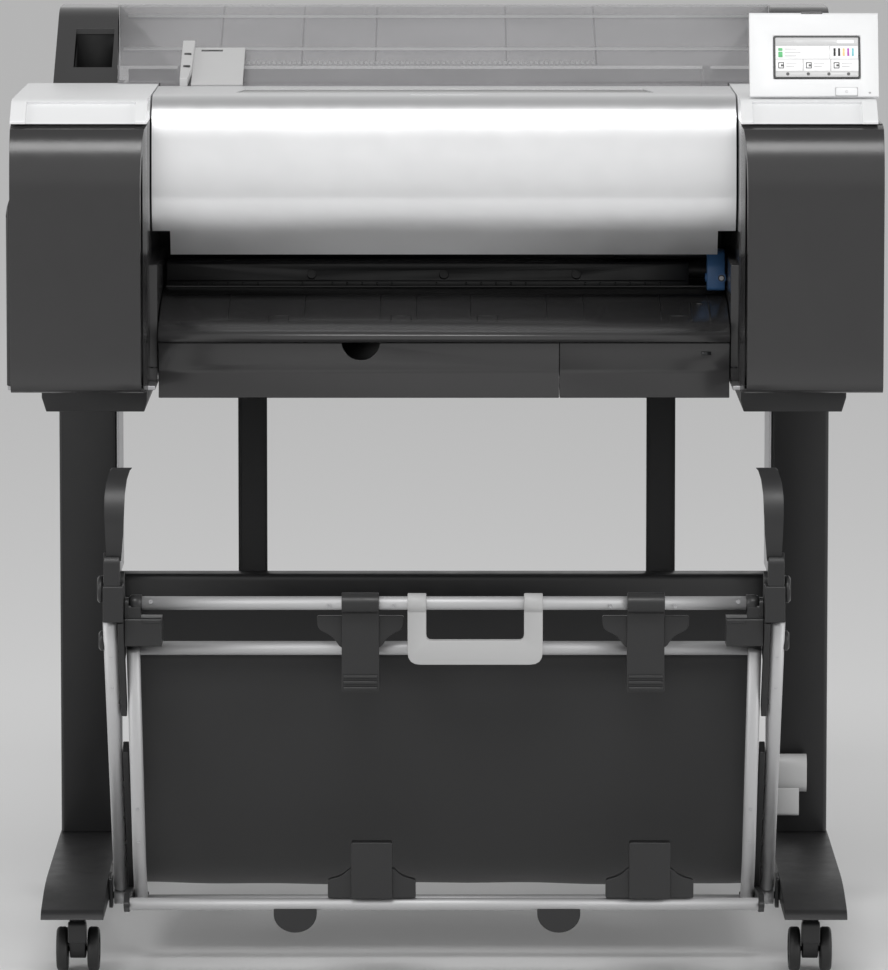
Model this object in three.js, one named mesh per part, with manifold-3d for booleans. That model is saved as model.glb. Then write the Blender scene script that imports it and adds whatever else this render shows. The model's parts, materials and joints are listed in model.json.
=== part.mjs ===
// Large format roll plotter on a wheeled stand, with a fold-out cloth basket.
// Millimetres, +Z up, front of the machine towards -Y, +X to its right as seen from the front.
import * as THREE from 'three';
import { mergeVertices } from 'three/addons/utils/BufferGeometryUtils.js';
import Module from 'manifold-3d';

const wasm = await Module();
wasm.setup();

// ---------------------------------------------------------------- driving dimensions
const GAP = 0.3; // clearance between touching pieces
const WALL = 4; // wall of the moulded shells
const CENTRE_SHIFT = 65.5; // moves the machine so that its footprint is centred on the origin

const WHEEL = { radius: 25, inner: 11, outer: 24, trail: 16, x: 412, frontY: -315, rearY: 265 };
const FOOT = { inner: 380, outer: 450, bottom: 71, top: 101, toe: -378, heel: 305 };
const LEG = { inner: 382, outer: 449, front: 53, back: 175, top: 623, wall: 5 };
const BRACKET = { inner: 336, outer: 455, front: -200, back: 200, top: 655.7 };
const STAY = { front: 80, back: 120, bottom: 369, top: 403, wall: 3 };

const SIDE = { inner: 331, outer: 489, back: 65, doorFront: -330, doorBack: -290 };
const CHASSIS = { bottom: 656, top: 661, rear: 372 };
const SHOULDER = 954.7; // underside of the white side tops
const TABLE = 980; // flat top of the machine
const COVER = { half: 329, stepX: 309, stepZ: 828 };
const MOUTH = 321; // half width of the paper exit
const REAR = { inner: 380, outer: 455, back: 376, crown: 1060 };
const ROLL = { y: 220, z: 930, shaft: 12, flange: 62, flangeX: 306 };

const PIVOT = { y: -232, z: 74.8, pin: 4 }; // axis of both basket frames
const ROD_A = { y: -457, z: 437.8, radius: 7.5 };
const ROD_B = { y: -423, z: 383.4, radius: 7.75 };
const ROD_FRONT = { y: -374, z: 88.8, radius: 7 };
const OUTER_TUBE = { x: 366, radius: 8, topY: -482, topZ: 421 };
const INNER_TUBE = { x: 342, radius: 7.5, topY: -447, topZ: 384.7, kinkY: -313, kinkZ: 124 };
const PLATE = { inner: 351, outer: 357.5, half: 9 };
const CLOTH = { half: 345, thick: 3, foldY: -150, foldZ: 77 };

const PANEL = { x0: 342, x1: 486, y: -246, z: 991, lean: THREE.MathUtils.degToRad(18.8), height: 85 };

// ---------------------------------------------------------------- materials
const paint = (color, roughness, metalness = 0) =>
  new THREE.MeshStandardMaterial({ color, roughness, metalness });
const white = paint(0xe9eaec, 0.45);
const silver = paint(0xd9dadc, 0.35);
const charcoal = paint(0x3b3a3c, 0.5);
const black = paint(0x1c1c1d, 0.55);
const steel = paint(0xb9babb, 0.3, 0.9);
const greyPlastic = paint(0x9b9b9b, 0.5);
const smoke = paint(0xa3a5a8, 0.2);
const blue = paint(0x3f6a9b, 0.4);
const rubber = paint(0x202020, 0.8);
const cloth = paint(0x19191a, 0.95);
const glass = paint(0x101214, 0.1);

// ---------------------------------------------------------------- shape helpers
const X_AXIS = new THREE.Vector3(1, 0, 0);
const Y_AXIS = new THREE.Vector3(0, 1, 0);
const Z_AXIS = new THREE.Vector3(0, 0, 1);

/** A three.js geometry as a solid that can be joined and cut. */
function solid(geometry) {
  const bare = geometry.clone();
  bare.deleteAttribute('normal');
  bare.deleteAttribute('uv');
  const welded = mergeVertices(bare, 1e-4);
  return new wasm.Manifold(new wasm.Mesh({
    numProp: 3,
    vertProperties: Float32Array.from(welded.attributes.position.array),
    triVerts: Uint32Array.from(welded.index.array),
  }));
}

function join(...bodies) {
  return bodies.reduce((whole, body) => whole.add(body));
}

function cut(body, ...tools) {
  return tools.reduce((rest, tool) => rest.subtract(tool), body);
}

/** Closed outline through [a, b, cornerRadius] points. */
function outline(points) {
  const shape = new THREE.Shape();
  const at = (index) => {
    const [a, b] = points[(index + points.length) % points.length];
    return new THREE.Vector2(a, b);
  };
  points.forEach(([, , radius = 0], index) => {
    const corner = at(index);
    const towards = (other) => {
      const arm = other.sub(corner);
      return arm.setLength(Math.min(radius, arm.length() * 0.49)).add(corner);
    };
    const into = towards(at(index - 1));
    const out = towards(at(index + 1));
    if (index === 0) shape.moveTo(into.x, into.y);
    else shape.lineTo(into.x, into.y);
    if (radius > 0) shape.quadraticCurveTo(corner.x, corner.y, out.x, out.y);
  });
  shape.closePath();
  return shape;
}

function extrude(points, depth, segments, basis, start) {
  const settings = { depth, bevelEnabled: false, curveSegments: segments };
  const geometry = new THREE.ExtrudeGeometry(outline(points), settings);
  geometry.applyMatrix4(new THREE.Matrix4().makeBasis(...basis).setPosition(...start));
  return solid(geometry);
}

/** [y, z] outline drawn out along X. */
function prismX(points, x0, x1, segments = 4) {
  return extrude(points, Math.abs(x1 - x0), segments, [Y_AXIS, Z_AXIS, X_AXIS], [Math.min(x0, x1), 0, 0]);
}

/** [x, z] outline drawn out along Y. */
function prismY(points, y0, y1, segments = 4) {
  const towardsFront = Y_AXIS.clone().negate();
  return extrude(points, Math.abs(y1 - y0), segments, [X_AXIS, Z_AXIS, towardsFront], [0, Math.max(y0, y1), 0]);
}

/** [x, y] outline drawn out along Z. */
function prismZ(points, z0, z1, segments = 4) {
  return extrude(points, Math.abs(z1 - z0), segments, [X_AXIS, Y_AXIS, Z_AXIS], [0, 0, Math.min(z0, z1)]);
}

/** Rectangle with rounded corners, as an outline. */
function rectangle(a0, a1, b0, b1, radius = 0) {
  return [[a0, b0, radius], [a1, b0, radius], [a1, b1, radius], [a0, b1, radius]];
}

function block(x0, x1, y0, y1, z0, z1) {
  const size = new THREE.BoxGeometry(Math.abs(x1 - x0), Math.abs(y1 - y0), Math.abs(z1 - z0));
  return solid(size.translate((x0 + x1) / 2, (y0 + y1) / 2, (z0 + z1) / 2));
}

/** Round bar between two [x, y, z] points. */
function bar(from, to, radius, sides = 16) {
  const start = new THREE.Vector3(...from);
  const along = new THREE.Vector3(...to).sub(start);
  const geometry = new THREE.CylinderGeometry(radius, radius, along.length(), sides);
  const turn = new THREE.Quaternion().setFromUnitVectors(Y_AXIS, along.clone().normalize());
  geometry.applyQuaternion(turn).translate(...start.addScaledVector(along, 0.5).toArray());
  return solid(geometry);
}

function barX(x0, x1, y, z, radius, sides = 16) {
  return bar([x0, y, z], [x1, y, z], radius, sides);
}

function ball(x, y, z, radius) {
  return solid(new THREE.SphereGeometry(radius, 12, 8).translate(x, y, z));
}

/** Round tube through [x, y, z] points, with a ball in each bend. */
function pipe(points, radius, sides = 12) {
  const runs = points.slice(1).map((point, index) => bar(points[index], point, radius, sides));
  const bends = points.slice(1, -1).map((point) => ball(...point, radius * 1.001));
  return join(...runs, ...bends);
}

/** Outline of a strip of even thickness along a line of [y, z] points. */
function ribbon(points, thickness) {
  const line = points.map(([y, z]) => new THREE.Vector2(y, z));
  const offset = (index, side) => {
    const before = line[Math.max(index - 1, 0)];
    const after = line[Math.min(index + 1, line.length - 1)];
    const along = after.clone().sub(before).normalize();
    const shift = new THREE.Vector2(-along.y, along.x).multiplyScalar((side * thickness) / 2);
    return line[index].clone().add(shift).toArray();
  };
  const top = line.map((_, index) => offset(index, 1));
  const bottom = line.map((_, index) => offset(index, -1)).reverse();
  return [...top, ...bottom];
}

const machine = new THREE.Group();
machine.position.y = CENTRE_SHIFT;

function piece(name, body, material, parent = machine) {
  const mesh = body.getMesh();
  const geometry = new THREE.BufferGeometry();
  geometry.setAttribute('position', new THREE.BufferAttribute(Float32Array.from(mesh.vertProperties), 3));
  geometry.setIndex(new THREE.BufferAttribute(Uint32Array.from(mesh.triVerts), 1));
  geometry.computeVertexNormals();
  const node = new THREE.Mesh(geometry, material);
  node.name = name;
  parent.add(node);
}

const SIDES = [['left', -1], ['right', 1]];

// ---------------------------------------------------------------- stand
const STEM = { radius: 6, top: 86, collar: 11, collarBottom: 62 };

function foot(side) {
  const profile = [
    [FOOT.toe, FOOT.bottom, 2], [FOOT.toe + 8, 79, 8], [-283, 98, 40], [30, FOOT.top], [235, FOOT.top, 25],
    [FOOT.heel, 80, 8], [FOOT.heel, FOOT.bottom, 2],
  ];
  const hollow = block(side * (FOOT.inner + WALL), side * (FOOT.outer - WALL), -285, 235, 60, 92);
  const sockets = [WHEEL.frontY, WHEEL.rearY].map((y) =>
    bar([side * WHEEL.x, y, 60], [side * WHEEL.x, y, STEM.top + GAP], STEM.radius + GAP));
  return cut(prismX(profile, side * FOOT.inner, side * FOOT.outer), hollow, ...sockets);
}

function leg(side) {
  const [inner, outer] = [side * LEG.inner, side * LEG.outer];
  const column = prismZ(rectangle(inner, outer, LEG.front, LEG.back, 5), FOOT.top + GAP, LEG.top + 1, 3);
  const bore = block(inner + side * LEG.wall, outer - side * LEG.wall, LEG.front + LEG.wall,
    LEG.back - LEG.wall, FOOT.top - 1, LEG.top - LEG.wall);
  const bracket = prismY([
    [side * (BRACKET.inner + 3), LEG.top], [side * BRACKET.inner, LEG.top + 12], [side * BRACKET.inner, BRACKET.top],
    [side * BRACKET.outer, BRACKET.top], [side * BRACKET.outer, LEG.top + 16], [side * (BRACKET.outer - 5), LEG.top],
  ], BRACKET.front, BRACKET.back);
  const pocket = block(side * (BRACKET.inner + WALL), side * (BRACKET.outer - WALL), BRACKET.front + WALL,
    BRACKET.back - WALL, LEG.top + WALL, BRACKET.top + 1);
  return cut(join(column, bracket), bore, pocket);
}

function crossStay() {
  const half = LEG.inner - GAP;
  const tube = prismX(rectangle(STAY.front, STAY.back, STAY.bottom, STAY.top, 8), -half, half);
  const inside = rectangle(STAY.front + STAY.wall, STAY.back - STAY.wall, STAY.bottom + STAY.wall,
    STAY.top - STAY.wall, 5);
  return cut(tube, prismX(inside, -half - 1, half + 1));
}

/** Plate on the inner side of the foot, with the pin that both basket frames turn on. */
function pivotBracket(side) {
  const plate = prismX([
    [PIVOT.y - 24, 98, 5], [PIVOT.y - 13, PIVOT.z - 14, 10], [PIVOT.y + 13, PIVOT.z - 14, 10], [PIVOT.y + 24, 98, 5],
  ], side * 375.5, side * (FOOT.inner - GAP));
  return join(plate, barX(side * 335, side * 376, PIVOT.y, PIVOT.z, PIVOT.pin));
}

const LEVER = { y: 36.5, z: 182, half: 14.5 };

function lockLever() {
  const [front, back] = [LEVER.y - LEVER.half, LEVER.y + LEVER.half];
  const head = prismX(rectangle(front, back, 152, LEVER.z + LEVER.half, LEVER.half), 390, 424);
  const tab = prismX(rectangle(front + 2, back - 8, 125, 160, 4), 390, 415);
  return join(head, tab);
}

for (const [name, side] of SIDES) {
  piece(`foot_${name}`, foot(side), black);
  piece(`leg_${name}`, leg(side), black);
  piece(`pivot_bracket_${name}`, pivotBracket(side), black);
}
piece('cross_stay', crossStay(), black);
piece('basket_lock_lever', lockLever(), greyPlastic);

function casterFork(x, y) {
  const axleY = y + WHEEL.trail;
  const hood = prismX([
    [y - 13, 46, 8], [axleY - 22, WHEEL.radius + 2, 6], [axleY - 8, WHEEL.radius - 9, 6], [axleY + 9, WHEEL.radius - 9, 6],
    [axleY + 24, WHEEL.radius + 4, 10], [axleY + 19, 50, 14], [y + 4, 60, 10], [y - 13, 60, 4],
  ], x - 9, x + 9);
  const stem = bar([x, y, 50], [x, y, STEM.top], STEM.radius);
  const collar = bar([x, y, STEM.collarBottom - 6], [x, y, FOOT.bottom - GAP], STEM.collar);
  const bore = barX(x - 12, x + 12, axleY, WHEEL.radius, 3.4);
  return cut(join(hood, stem, collar), bore);
}

function casterWheels(x, y) {
  const axleY = y + WHEEL.trail;
  const wheel = (from, to) => barX(from, to, axleY, WHEEL.radius, WHEEL.radius, 28);
  return join(
    wheel(x - WHEEL.outer, x - WHEEL.inner),
    wheel(x + WHEEL.inner, x + WHEEL.outer),
    barX(x - WHEEL.inner - 0.5, x + WHEEL.inner + 0.5, axleY, WHEEL.radius, 3),
  );
}

for (const [name, side] of SIDES) {
  for (const [end, y] of [['front', WHEEL.frontY], ['rear', WHEEL.rearY]]) {
    piece(`caster_fork_${end}_${name}`, casterFork(side * WHEEL.x, y), black);
    piece(`caster_wheels_${end}_${name}`, casterWheels(side * WHEEL.x, y), rubber);
  }
}

// ---------------------------------------------------------------- chassis and fixed covers
function basePan() {
  const [wide, narrow] = [SIDE.outer - 1, REAR.outer];
  const notch = MOUTH + 2;
  const half = [
    [notch, -120], [notch, -288], [wide, -288], [wide, SIDE.back], [narrow, SIDE.back], [narrow, CHASSIS.rear],
  ];
  const mirrored = half.map(([x, y]) => [-x, y]).reverse();
  return prismZ([...half, ...mirrored], CHASSIS.bottom, CHASSIS.top);
}

const INLET = { x0: 300, x1: 336, z0: 700, z1: 730, wall: 5 };

/** Open trough behind the print head: the roll hangs in it. */
function rearHousing() {
  const [front, back, base] = [SIDE.back + 1.3, CHASSIS.rear, CHASSIS.top + GAP];
  const half = REAR.inner - GAP;
  const shell = prismX([
    [front, base], [back, base, 18], [back, 980], [back - 6, 980], [back - 6, 842, 90], [front + 8, 842, 70],
    [front + 8, 950], [front, 950],
  ], -half, half);
  const duct = prismX([
    [front + 8, base + 7], [back - 8, base + 7, 14], [back - 8, 800, 40], [300, 833, 30], [140, 833, 30],
    [front + 8, 822, 10],
  ], -half - 1, half + 1);
  const inletHole = block(INLET.x0 - GAP, INLET.x1 + GAP, back - 12, back + 1, INLET.z0 - GAP, INLET.z1 + GAP);
  return cut(shell, duct, inletHole);
}

function sideShell(side) {
  const [inner, outer] = [side * SIDE.inner, side * SIDE.outer];
  const [front, base, top] = [SIDE.doorBack + 1, CHASSIS.top + GAP, SHOULDER - GAP];
  const corners = [[inner, front], [outer, front, 3], [outer, SIDE.back, 14], [inner, SIDE.back]];
  const shell = prismZ(corners, base, top);
  const hollow = block(inner + side * WALL, outer - side * WALL, front + WALL, SIDE.back - WALL, base - 1, top - WALL);
  const hatch = block(inner + side * 14, outer - side * 14, front - 1, front + WALL + 1, 690, 930);
  const trim = block(side * (MOUTH + 1.5), inner + side * 1, -236, 40, base, 792);
  return join(cut(shell, hollow, hatch), trim);
}

function sideTop(side) {
  const [inner, outer] = [side * SIDE.inner, side * (SIDE.outer - 6)];
  const cap = prismX([
    [-302, SHOULDER], [-302, 957, 2], [-264, TABLE, 12], [SIDE.back, TABLE, 3], [SIDE.back, SHOULDER],
  ], inner, outer);
  const hollow = prismX([
    [-288, SHOULDER - 1], [-288, 960], [-262, TABLE - WALL], [SIDE.back - WALL, TABLE - WALL],
    [SIDE.back - WALL, SHOULDER - 1],
  ], inner + side * WALL, outer - side * WALL);
  const inset = prismX([[-296, 962], [-272, 976.5], [-274, 979], [-298, 965]], inner + side * 12, outer - side * 12);
  return cut(cap, hollow, inset);
}

/** Upright housing at each end of the roll, with the bearing for the spindle. */
function endCap(side) {
  const base = CHASSIS.top + GAP;
  const front = SIDE.back + GAP;
  const [inner, outer] = [side * REAR.inner, side * REAR.outer];
  const shell = prismX([
    [front, base], [REAR.back, base, 14], [REAR.back, 1046, 30], [340, REAR.crown, 20], [229, REAR.crown, 22],
    [front, 971, 4],
  ], inner, outer);
  const hollow = prismX([
    [front + 5, base - 1], [REAR.back - 5, base - 1], [REAR.back - 5, 1040, 24], [338, REAR.crown - 5],
    [232, REAR.crown - 5, 16], [front + 5, 967],
  ], inner + side * WALL, outer - side * WALL);
  const bearing = barX(side * (REAR.inner - 2), side * (REAR.inner + 6), ROLL.y, ROLL.z, ROLL.shaft + 0.5, 24);
  if (side > 0) return cut(shell, hollow, bearing);
  const lining = prismX([[104, 940], [192, 940], [192, 1036], [104, 988]], -437, -383.5);
  const pocket = prismX([[110, 962], [186, 962], [186, 1050], [110, 1010]], -433, -388);
  return cut(join(cut(shell, hollow, bearing), lining), pocket);
}

function platenBar() {
  const rail = prismX(rectangle(-60, -20, 753, 782, 2), -318, 281);
  const holes = [-152, 0, 152].map((x) => bar([x, -62, 767], [x, -50, 767], 5.5));
  return cut(rail, ...holes);
}

function outputGuide() {
  return prismX([
    [-61, 752.5], [-160, 744], [-238, 729, 20], [-263, 716, 9], [-259, 706.5, 4], [-244, 706.5], [-242, 716, 6],
    [-160, 733], [-61, 742],
  ], -MOUTH, MOUTH);
}

const LOWER_FRONT = [[-252, 705.6], [-241, 673, 3], [-245, 643, 2]];

function frontLowerPanel() {
  const shell = prismX([...LOWER_FRONT, [-125, 643], [-125, 700], [-235, 705.6]], 130, MOUTH);
  const hollow = prismX([[-237, 648], [-130, 648], [-130, 710], [-237, 710]], 134, MOUTH - WALL);
  return cut(shell, hollow);
}

function accessoryDrawer() {
  const front = prismX([...LOWER_FRONT, [-236, 643], [-236, 705.6]], -MOUTH, 129.4);
  const tray = block(-MOUTH + 6, 123, -237, -126, 646, 698);
  const inside = block(-MOUTH + 9, 120, -233, -129, 649, 710);
  const notch = bar([-93.5, -260, 707], [-93.5, -230, 707], 21.5, 24);
  return cut(join(front, tray), inside, notch);
}

function carriageRail() {
  const channel = prismX(rectangle(18, 48, 815, 865, 2), -MOUTH, MOUTH);
  return cut(channel, prismX(rectangle(24, 50, 821, 859), -MOUTH - 1, MOUTH + 1));
}

function inkTankRack() {
  const rack = prismX(rectangle(-280, -112, 700, 880, 6), 352, 468);
  const slots = [0, 1, 2, 3, 4].map((index) => {
    const x = 357 + index * 22;
    return block(x, x + 18, -281, -272, 708, 872);
  });
  return cut(rack, ...slots);
}

function powerInlet() {
  const { x0, x1, z0, z1, wall } = INLET;
  const body = prismY(rectangle(x0, x1, z0, z1, 3), CHASSIS.rear - 22, CHASSIS.rear + 1.5);
  const socket = rectangle(x0 + wall, x1 - wall, z0 + wall, z1 - wall, 3);
  return cut(body, prismY(socket, CHASSIS.rear - 16, CHASSIS.rear + 3));
}

piece('base_pan', basePan(), steel);
piece('rear_housing', rearHousing(), charcoal);
for (const [name, side] of SIDES) {
  piece(`side_shell_${name}`, sideShell(side), charcoal);
  piece(`side_top_${name}`, sideTop(side), white);
  piece(`end_cap_${name}`, endCap(side), charcoal);
}
piece('platen_bar', platenBar(), black);
piece('output_guide', outputGuide(), charcoal);
piece('front_lower_panel', frontLowerPanel(), charcoal);
piece('accessory_drawer', accessoryDrawer(), charcoal);
piece('carriage_rail', carriageRail(), steel);
piece('ink_tank_rack', inkTankRack(), greyPlastic);
piece('power_inlet', powerInlet(), black);

// ---------------------------------------------------------------- moving covers and print parts
function topCover() {
  const outer = prismX([
    [8, 960], [8, TABLE, 8], [-192, TABLE, 34], [-217, 945, 40], [-208, 868, 70], [-168, 800],
  ], -COVER.half, COVER.half, 10);
  const inner = prismX([
    [4, 930], [4, TABLE - WALL, 4], [-190, TABLE - WALL, 30], [-213, 944, 38], [-204, 869, 68], [-158, 789],
    [-100, 760],
  ], -COVER.half + WALL, COVER.half - WALL, 10);
  const steps = SIDES.map(([, side]) =>
    block(side * COVER.stepX, side * (COVER.half + 1), -230, 10, 780, COVER.stepZ));
  const window = prismZ([[-237, -128], [239, -128], [228, -62], [-226, -62]], TABLE - 1.5, TABLE + 1);
  return cut(outer, inner, ...steps, window);
}

function frontDoor(side) {
  const [inner, outer] = [side * SIDE.inner, side * SIDE.outer];
  const front = SIDE.doorFront;
  const shell = prismX([
    [SIDE.doorBack, 656], [front, 656, 4], [front, 949, 28], [-303, 952.8, 6], [SIDE.doorBack, 952.8],
  ], inner, outer);
  const hollow = prismX([
    [SIDE.doorBack + 1, 661], [front + WALL, 661], [front + WALL, 942, 22], [-305, 948], [SIDE.doorBack + 1, 948],
  ], inner + side * WALL, outer - side * WALL);
  return cut(shell, hollow);
}

const SLOPE = [[19, 971], [60, 985], [150, 1012], [250, 1040], [322, 1057], [346, 1053], [359, 1036], [364, 1008], [364, 984]];

function rollCover() {
  const half = REAR.inner - 1.5;
  const shoulders = SIDES.map(([, side]) => block(side * COVER.half, side * (half + 1), 0, SIDE.back + 2, 950, 1010));
  return cut(prismX(ribbon(SLOPE, 3), -half, half), ...shoulders);
}

/** Edge guide for cut sheets: a plate on the roll cover with a raised fence. */
function widthGuide() {
  const raised = (lift, from, to) => SLOPE.slice(from, to).map(([y, z]) => [y, z + lift]);
  const foot = [[34, 980.2], ...raised(4.2, 1, 3), [178, 1024.2]];
  const fence = [[34, 986], ...raised(10, 1, 3), [166, 1026.8]];
  return join(prismX(ribbon(foot, 3), -306, -233), prismX(ribbon(fence, 12), -306, -291));
}

function printCarriage() {
  return prismX([
    [-60, 786, 4], [17.4, 786], [17.4, 865.5], [52, 865.5], [52, 882, 3], [-60, 882, 12],
  ], 196, 318);
}

function cutterUnit() {
  const body = prismX([[-126, 754, 4], [-95, 754], [-95, 800, 4], [-116, 800, 8], [-126, 780, 6]], 300, 320);
  return join(body, barX(298, 322, -112, 768, 5));
}

function feedRoller() {
  return barX(-316, 316, 8, 768, 11, 24);
}

function rollSpindle() {
  const shaft = barX(-384, 384, ROLL.y, ROLL.z, ROLL.shaft, 24);
  const flanges = SIDES.map(([, side]) =>
    barX(side * ROLL.flangeX, side * (ROLL.flangeX + 9), ROLL.y, ROLL.z, ROLL.flange, 40));
  return join(shaft, ...flanges);
}

piece('top_cover', topCover(), silver);
piece('ink_door_right', frontDoor(1), charcoal);
piece('side_door_left', frontDoor(-1), charcoal);
piece('roll_cover', rollCover(), smoke);
piece('width_guide', widthGuide(), white);
piece('print_carriage', printCarriage(), black);
piece('cutter_unit', cutterUnit(), blue);
piece('feed_roller', feedRoller(), steel);
piece('roll_spindle', rollSpindle(), black);

// ---------------------------------------------------------------- control panel, drawn upright and leaned back
const panel = new THREE.Group();
panel.position.set(0, PANEL.y, PANEL.z);
panel.rotation.x = -PANEL.lean;
machine.add(panel);

const SCREEN = { x0: 368.6, x1: 465.7, z0: 8.5, z1: 58.5, face: -10.6, seat: -8.6 };
const BUTTON = { x0: 438, x1: 462, z0: -11, z1: -1.8, face: -11, back: -9.5, pocket: -7.7 };

function panelHousing() {
  const slab = prismX([
    [-10, -12, 1], [-10, PANEL.height, 3], [-4, PANEL.height + 2, 3], [5, PANEL.height, 6], [8, PANEL.height - 12, 8],
    [8, -7, 2], [-4, -7], [-4, -12],
  ], PANEL.x0, PANEL.x1);
  const screenSeat = block(SCREEN.x0 - GAP, SCREEN.x1 + GAP, -12, SCREEN.seat, SCREEN.z0 - GAP, SCREEN.z1 + GAP);
  const buttonPocket = block(BUTTON.x0 - GAP, BUTTON.x1 + GAP, -12, BUTTON.pocket, BUTTON.z0 - GAP, BUTTON.z1 + GAP);
  return cut(slab, screenSeat, buttonPocket);
}

function panelScreen() {
  const face = rectangle(SCREEN.x0, SCREEN.x1, SCREEN.z0, SCREEN.z1, 3);
  return prismY(face, SCREEN.face, SCREEN.seat - GAP);
}

function powerButton() {
  return prismY(rectangle(BUTTON.x0, BUTTON.x1, BUTTON.z0, BUTTON.z1, 2), BUTTON.face, BUTTON.back);
}

piece('panel_housing', panelHousing(), white, panel);
piece('panel_screen', panelScreen(), glass, panel);
piece('power_button', powerButton(), white, panel);

// ---------------------------------------------------------------- basket
const tubeRise = new THREE.Vector2(OUTER_TUBE.topY - PIVOT.y, OUTER_TUBE.topZ - PIVOT.z);
/** [y, z] at a share of the outer tube's length, and at a distance square to it. */
function alongTube(share, across = 0) {
  const square = new THREE.Vector2(tubeRise.y, -tubeRise.x).setLength(across);
  return [PIVOT.y + tubeRise.x * share + square.x, PIVOT.z + tubeRise.y * share + square.y];
}

function outerTube(side) {
  const x = side * OUTER_TUBE.x;
  const tube = bar([x, PIVOT.y, PIVOT.z], [x, ...alongTube(1.05)], OUTER_TUBE.radius);
  const eye = barX(side * 358, side * 374, PIVOT.y, PIVOT.z, 10);
  const bore = barX(side * 350, side * 380, PIVOT.y, PIVOT.z, PIVOT.pin + GAP);
  const above = block(side * 350, side * 380, -520, -440, OUTER_TUBE.topZ, 480);
  return cut(join(tube, eye), bore, above);
}

const HORN = [[-489, 490], [-501, 510], [-504, 533], [-499, 560], [-482, 588]];

/** Black side plate: runs along the tube and to the front rod, and ends in the horn that the paper passes. */
function sideArm(side) {
  const [inner, outer] = [side * PLATE.inner, side * PLATE.outer];
  const strip = prismX([alongTube(0, -PLATE.half), alongTube(1.01, -PLATE.half), alongTube(1.01, PLATE.half),
    alongTube(0, PLATE.half)], inner, outer);
  const eye = barX(inner, outer, PIVOT.y, PIVOT.z, 11);
  const link = prismX([
    [PIVOT.y, PIVOT.z - 10], [ROD_FRONT.y, ROD_FRONT.z - 10, 3], [ROD_FRONT.y - 11, ROD_FRONT.z, 8],
    [ROD_FRONT.y, ROD_FRONT.z + 11, 3], [PIVOT.y, PIVOT.z + 10],
  ], inner, outer);
  const lug = prismX([
    [ROD_B.y - 36, ROD_B.z + 12], [ROD_B.y + 6, ROD_B.z + 11, 5], [ROD_B.y + 10, ROD_B.z, 5],
    [ROD_B.y + 4, ROD_B.z - 11, 5], [ROD_B.y - 22, ROD_B.z - 14],
  ], inner, outer);
  const head = prismX([
    [-500, OUTER_TUBE.topZ + GAP, 2], [-472, OUTER_TUBE.topZ + GAP], [-472, 470, 8], [-480, 497], [-500, 497],
  ], side * PLATE.inner, side * 374);
  const horn = prismX(ribbon(HORN, 6), side * 346, side * 372);
  const bore = barX(side * 345, side * 360, PIVOT.y, PIVOT.z, PIVOT.pin + GAP);
  return cut(join(strip, eye, link, lug, head, horn), bore);
}

/** One bent tube: up from the rear bottom rod on both sides. */
function innerFrame() {
  const end = PLATE.inner - GAP;
  const uprights = SIDES.map(([, side]) => pipe([
    [side * INNER_TUBE.x, PIVOT.y, PIVOT.z],
    [side * INNER_TUBE.x, INNER_TUBE.kinkY, INNER_TUBE.kinkZ],
    [side * INNER_TUBE.x, INNER_TUBE.topY - 3, INNER_TUBE.topZ + 6],
  ], INNER_TUBE.radius));
  const cross = barX(-end, end, PIVOT.y, PIVOT.z, INNER_TUBE.radius);
  const bores = SIDES.map(([, side]) =>
    barX(side * 334, side * 360, PIVOT.y, PIVOT.z, PIVOT.pin + GAP));
  const above = block(-end, end, -480, -420, INNER_TUBE.topZ + 0.8, 420);
  return cut(join(cross, ...uprights), ...bores, above);
}

function cornerBlock(side) {
  const end = side * (PLATE.inner - GAP - 0.2);
  const body = prismX(rectangle(-470, -434, 392, 419, 5), side * 317, end);
  const skirt = prismX(rectangle(-468, -434.5, 386, 396, 2), side * 333, end);
  const socket = barX(side * 336, end, ROD_A.y, ROD_A.z, 11);
  const neck = block(side * 336, end, -468, -446, 415, ROD_A.z);
  const bore = barX(side * 330, side * 341, ROD_A.y, ROD_A.z, ROD_A.radius + GAP);
  return cut(join(body, skirt, neck, socket), bore);
}

/** Sheet clip on the upper rod: hook, wide shoulder and tongue. */
function upperClip(x) {
  const face = prismY([
    [x - 50, 424, 3], [x - 50, 404, 6], [x - 22, 388, 10], [x - 21, 338, 4], [x + 21, 338, 4], [x + 22, 388, 10],
    [x + 50, 404, 6], [x + 50, 424, 3],
  ], -450, -436);
  const neck = block(x - 21, x + 21, -450, -440, 420, ROD_A.z);
  const hook = barX(x - 21, x + 21, ROD_A.y, ROD_A.z, 11.5);
  const bore = barX(x - 30, x + 30, ROD_A.y, ROD_A.z, ROD_A.radius + GAP);
  return cut(join(face, neck, hook), bore);
}

/** Sheet clip on the front bottom rod: broad base, concave shoulders and tongue. */
function lowerClip(x) {
  const face = prismY([
    [x - 50, 80, 3], [x - 50, 98, 4], [x - 24, 112, 14], [x - 23, 158, 3], [x + 23, 158, 3], [x + 24, 112, 14],
    [x + 50, 98, 4], [x + 50, 80, 3],
  ], -385, -362);
  return cut(face, barX(x - 60, x + 60, ROD_FRONT.y, ROD_FRONT.z, ROD_FRONT.radius + GAP));
}

const HANDLE = { x0: -40, x1: 108.5, arm: 20.5, bottom: 370, bar: 27, half: 6 };

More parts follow.
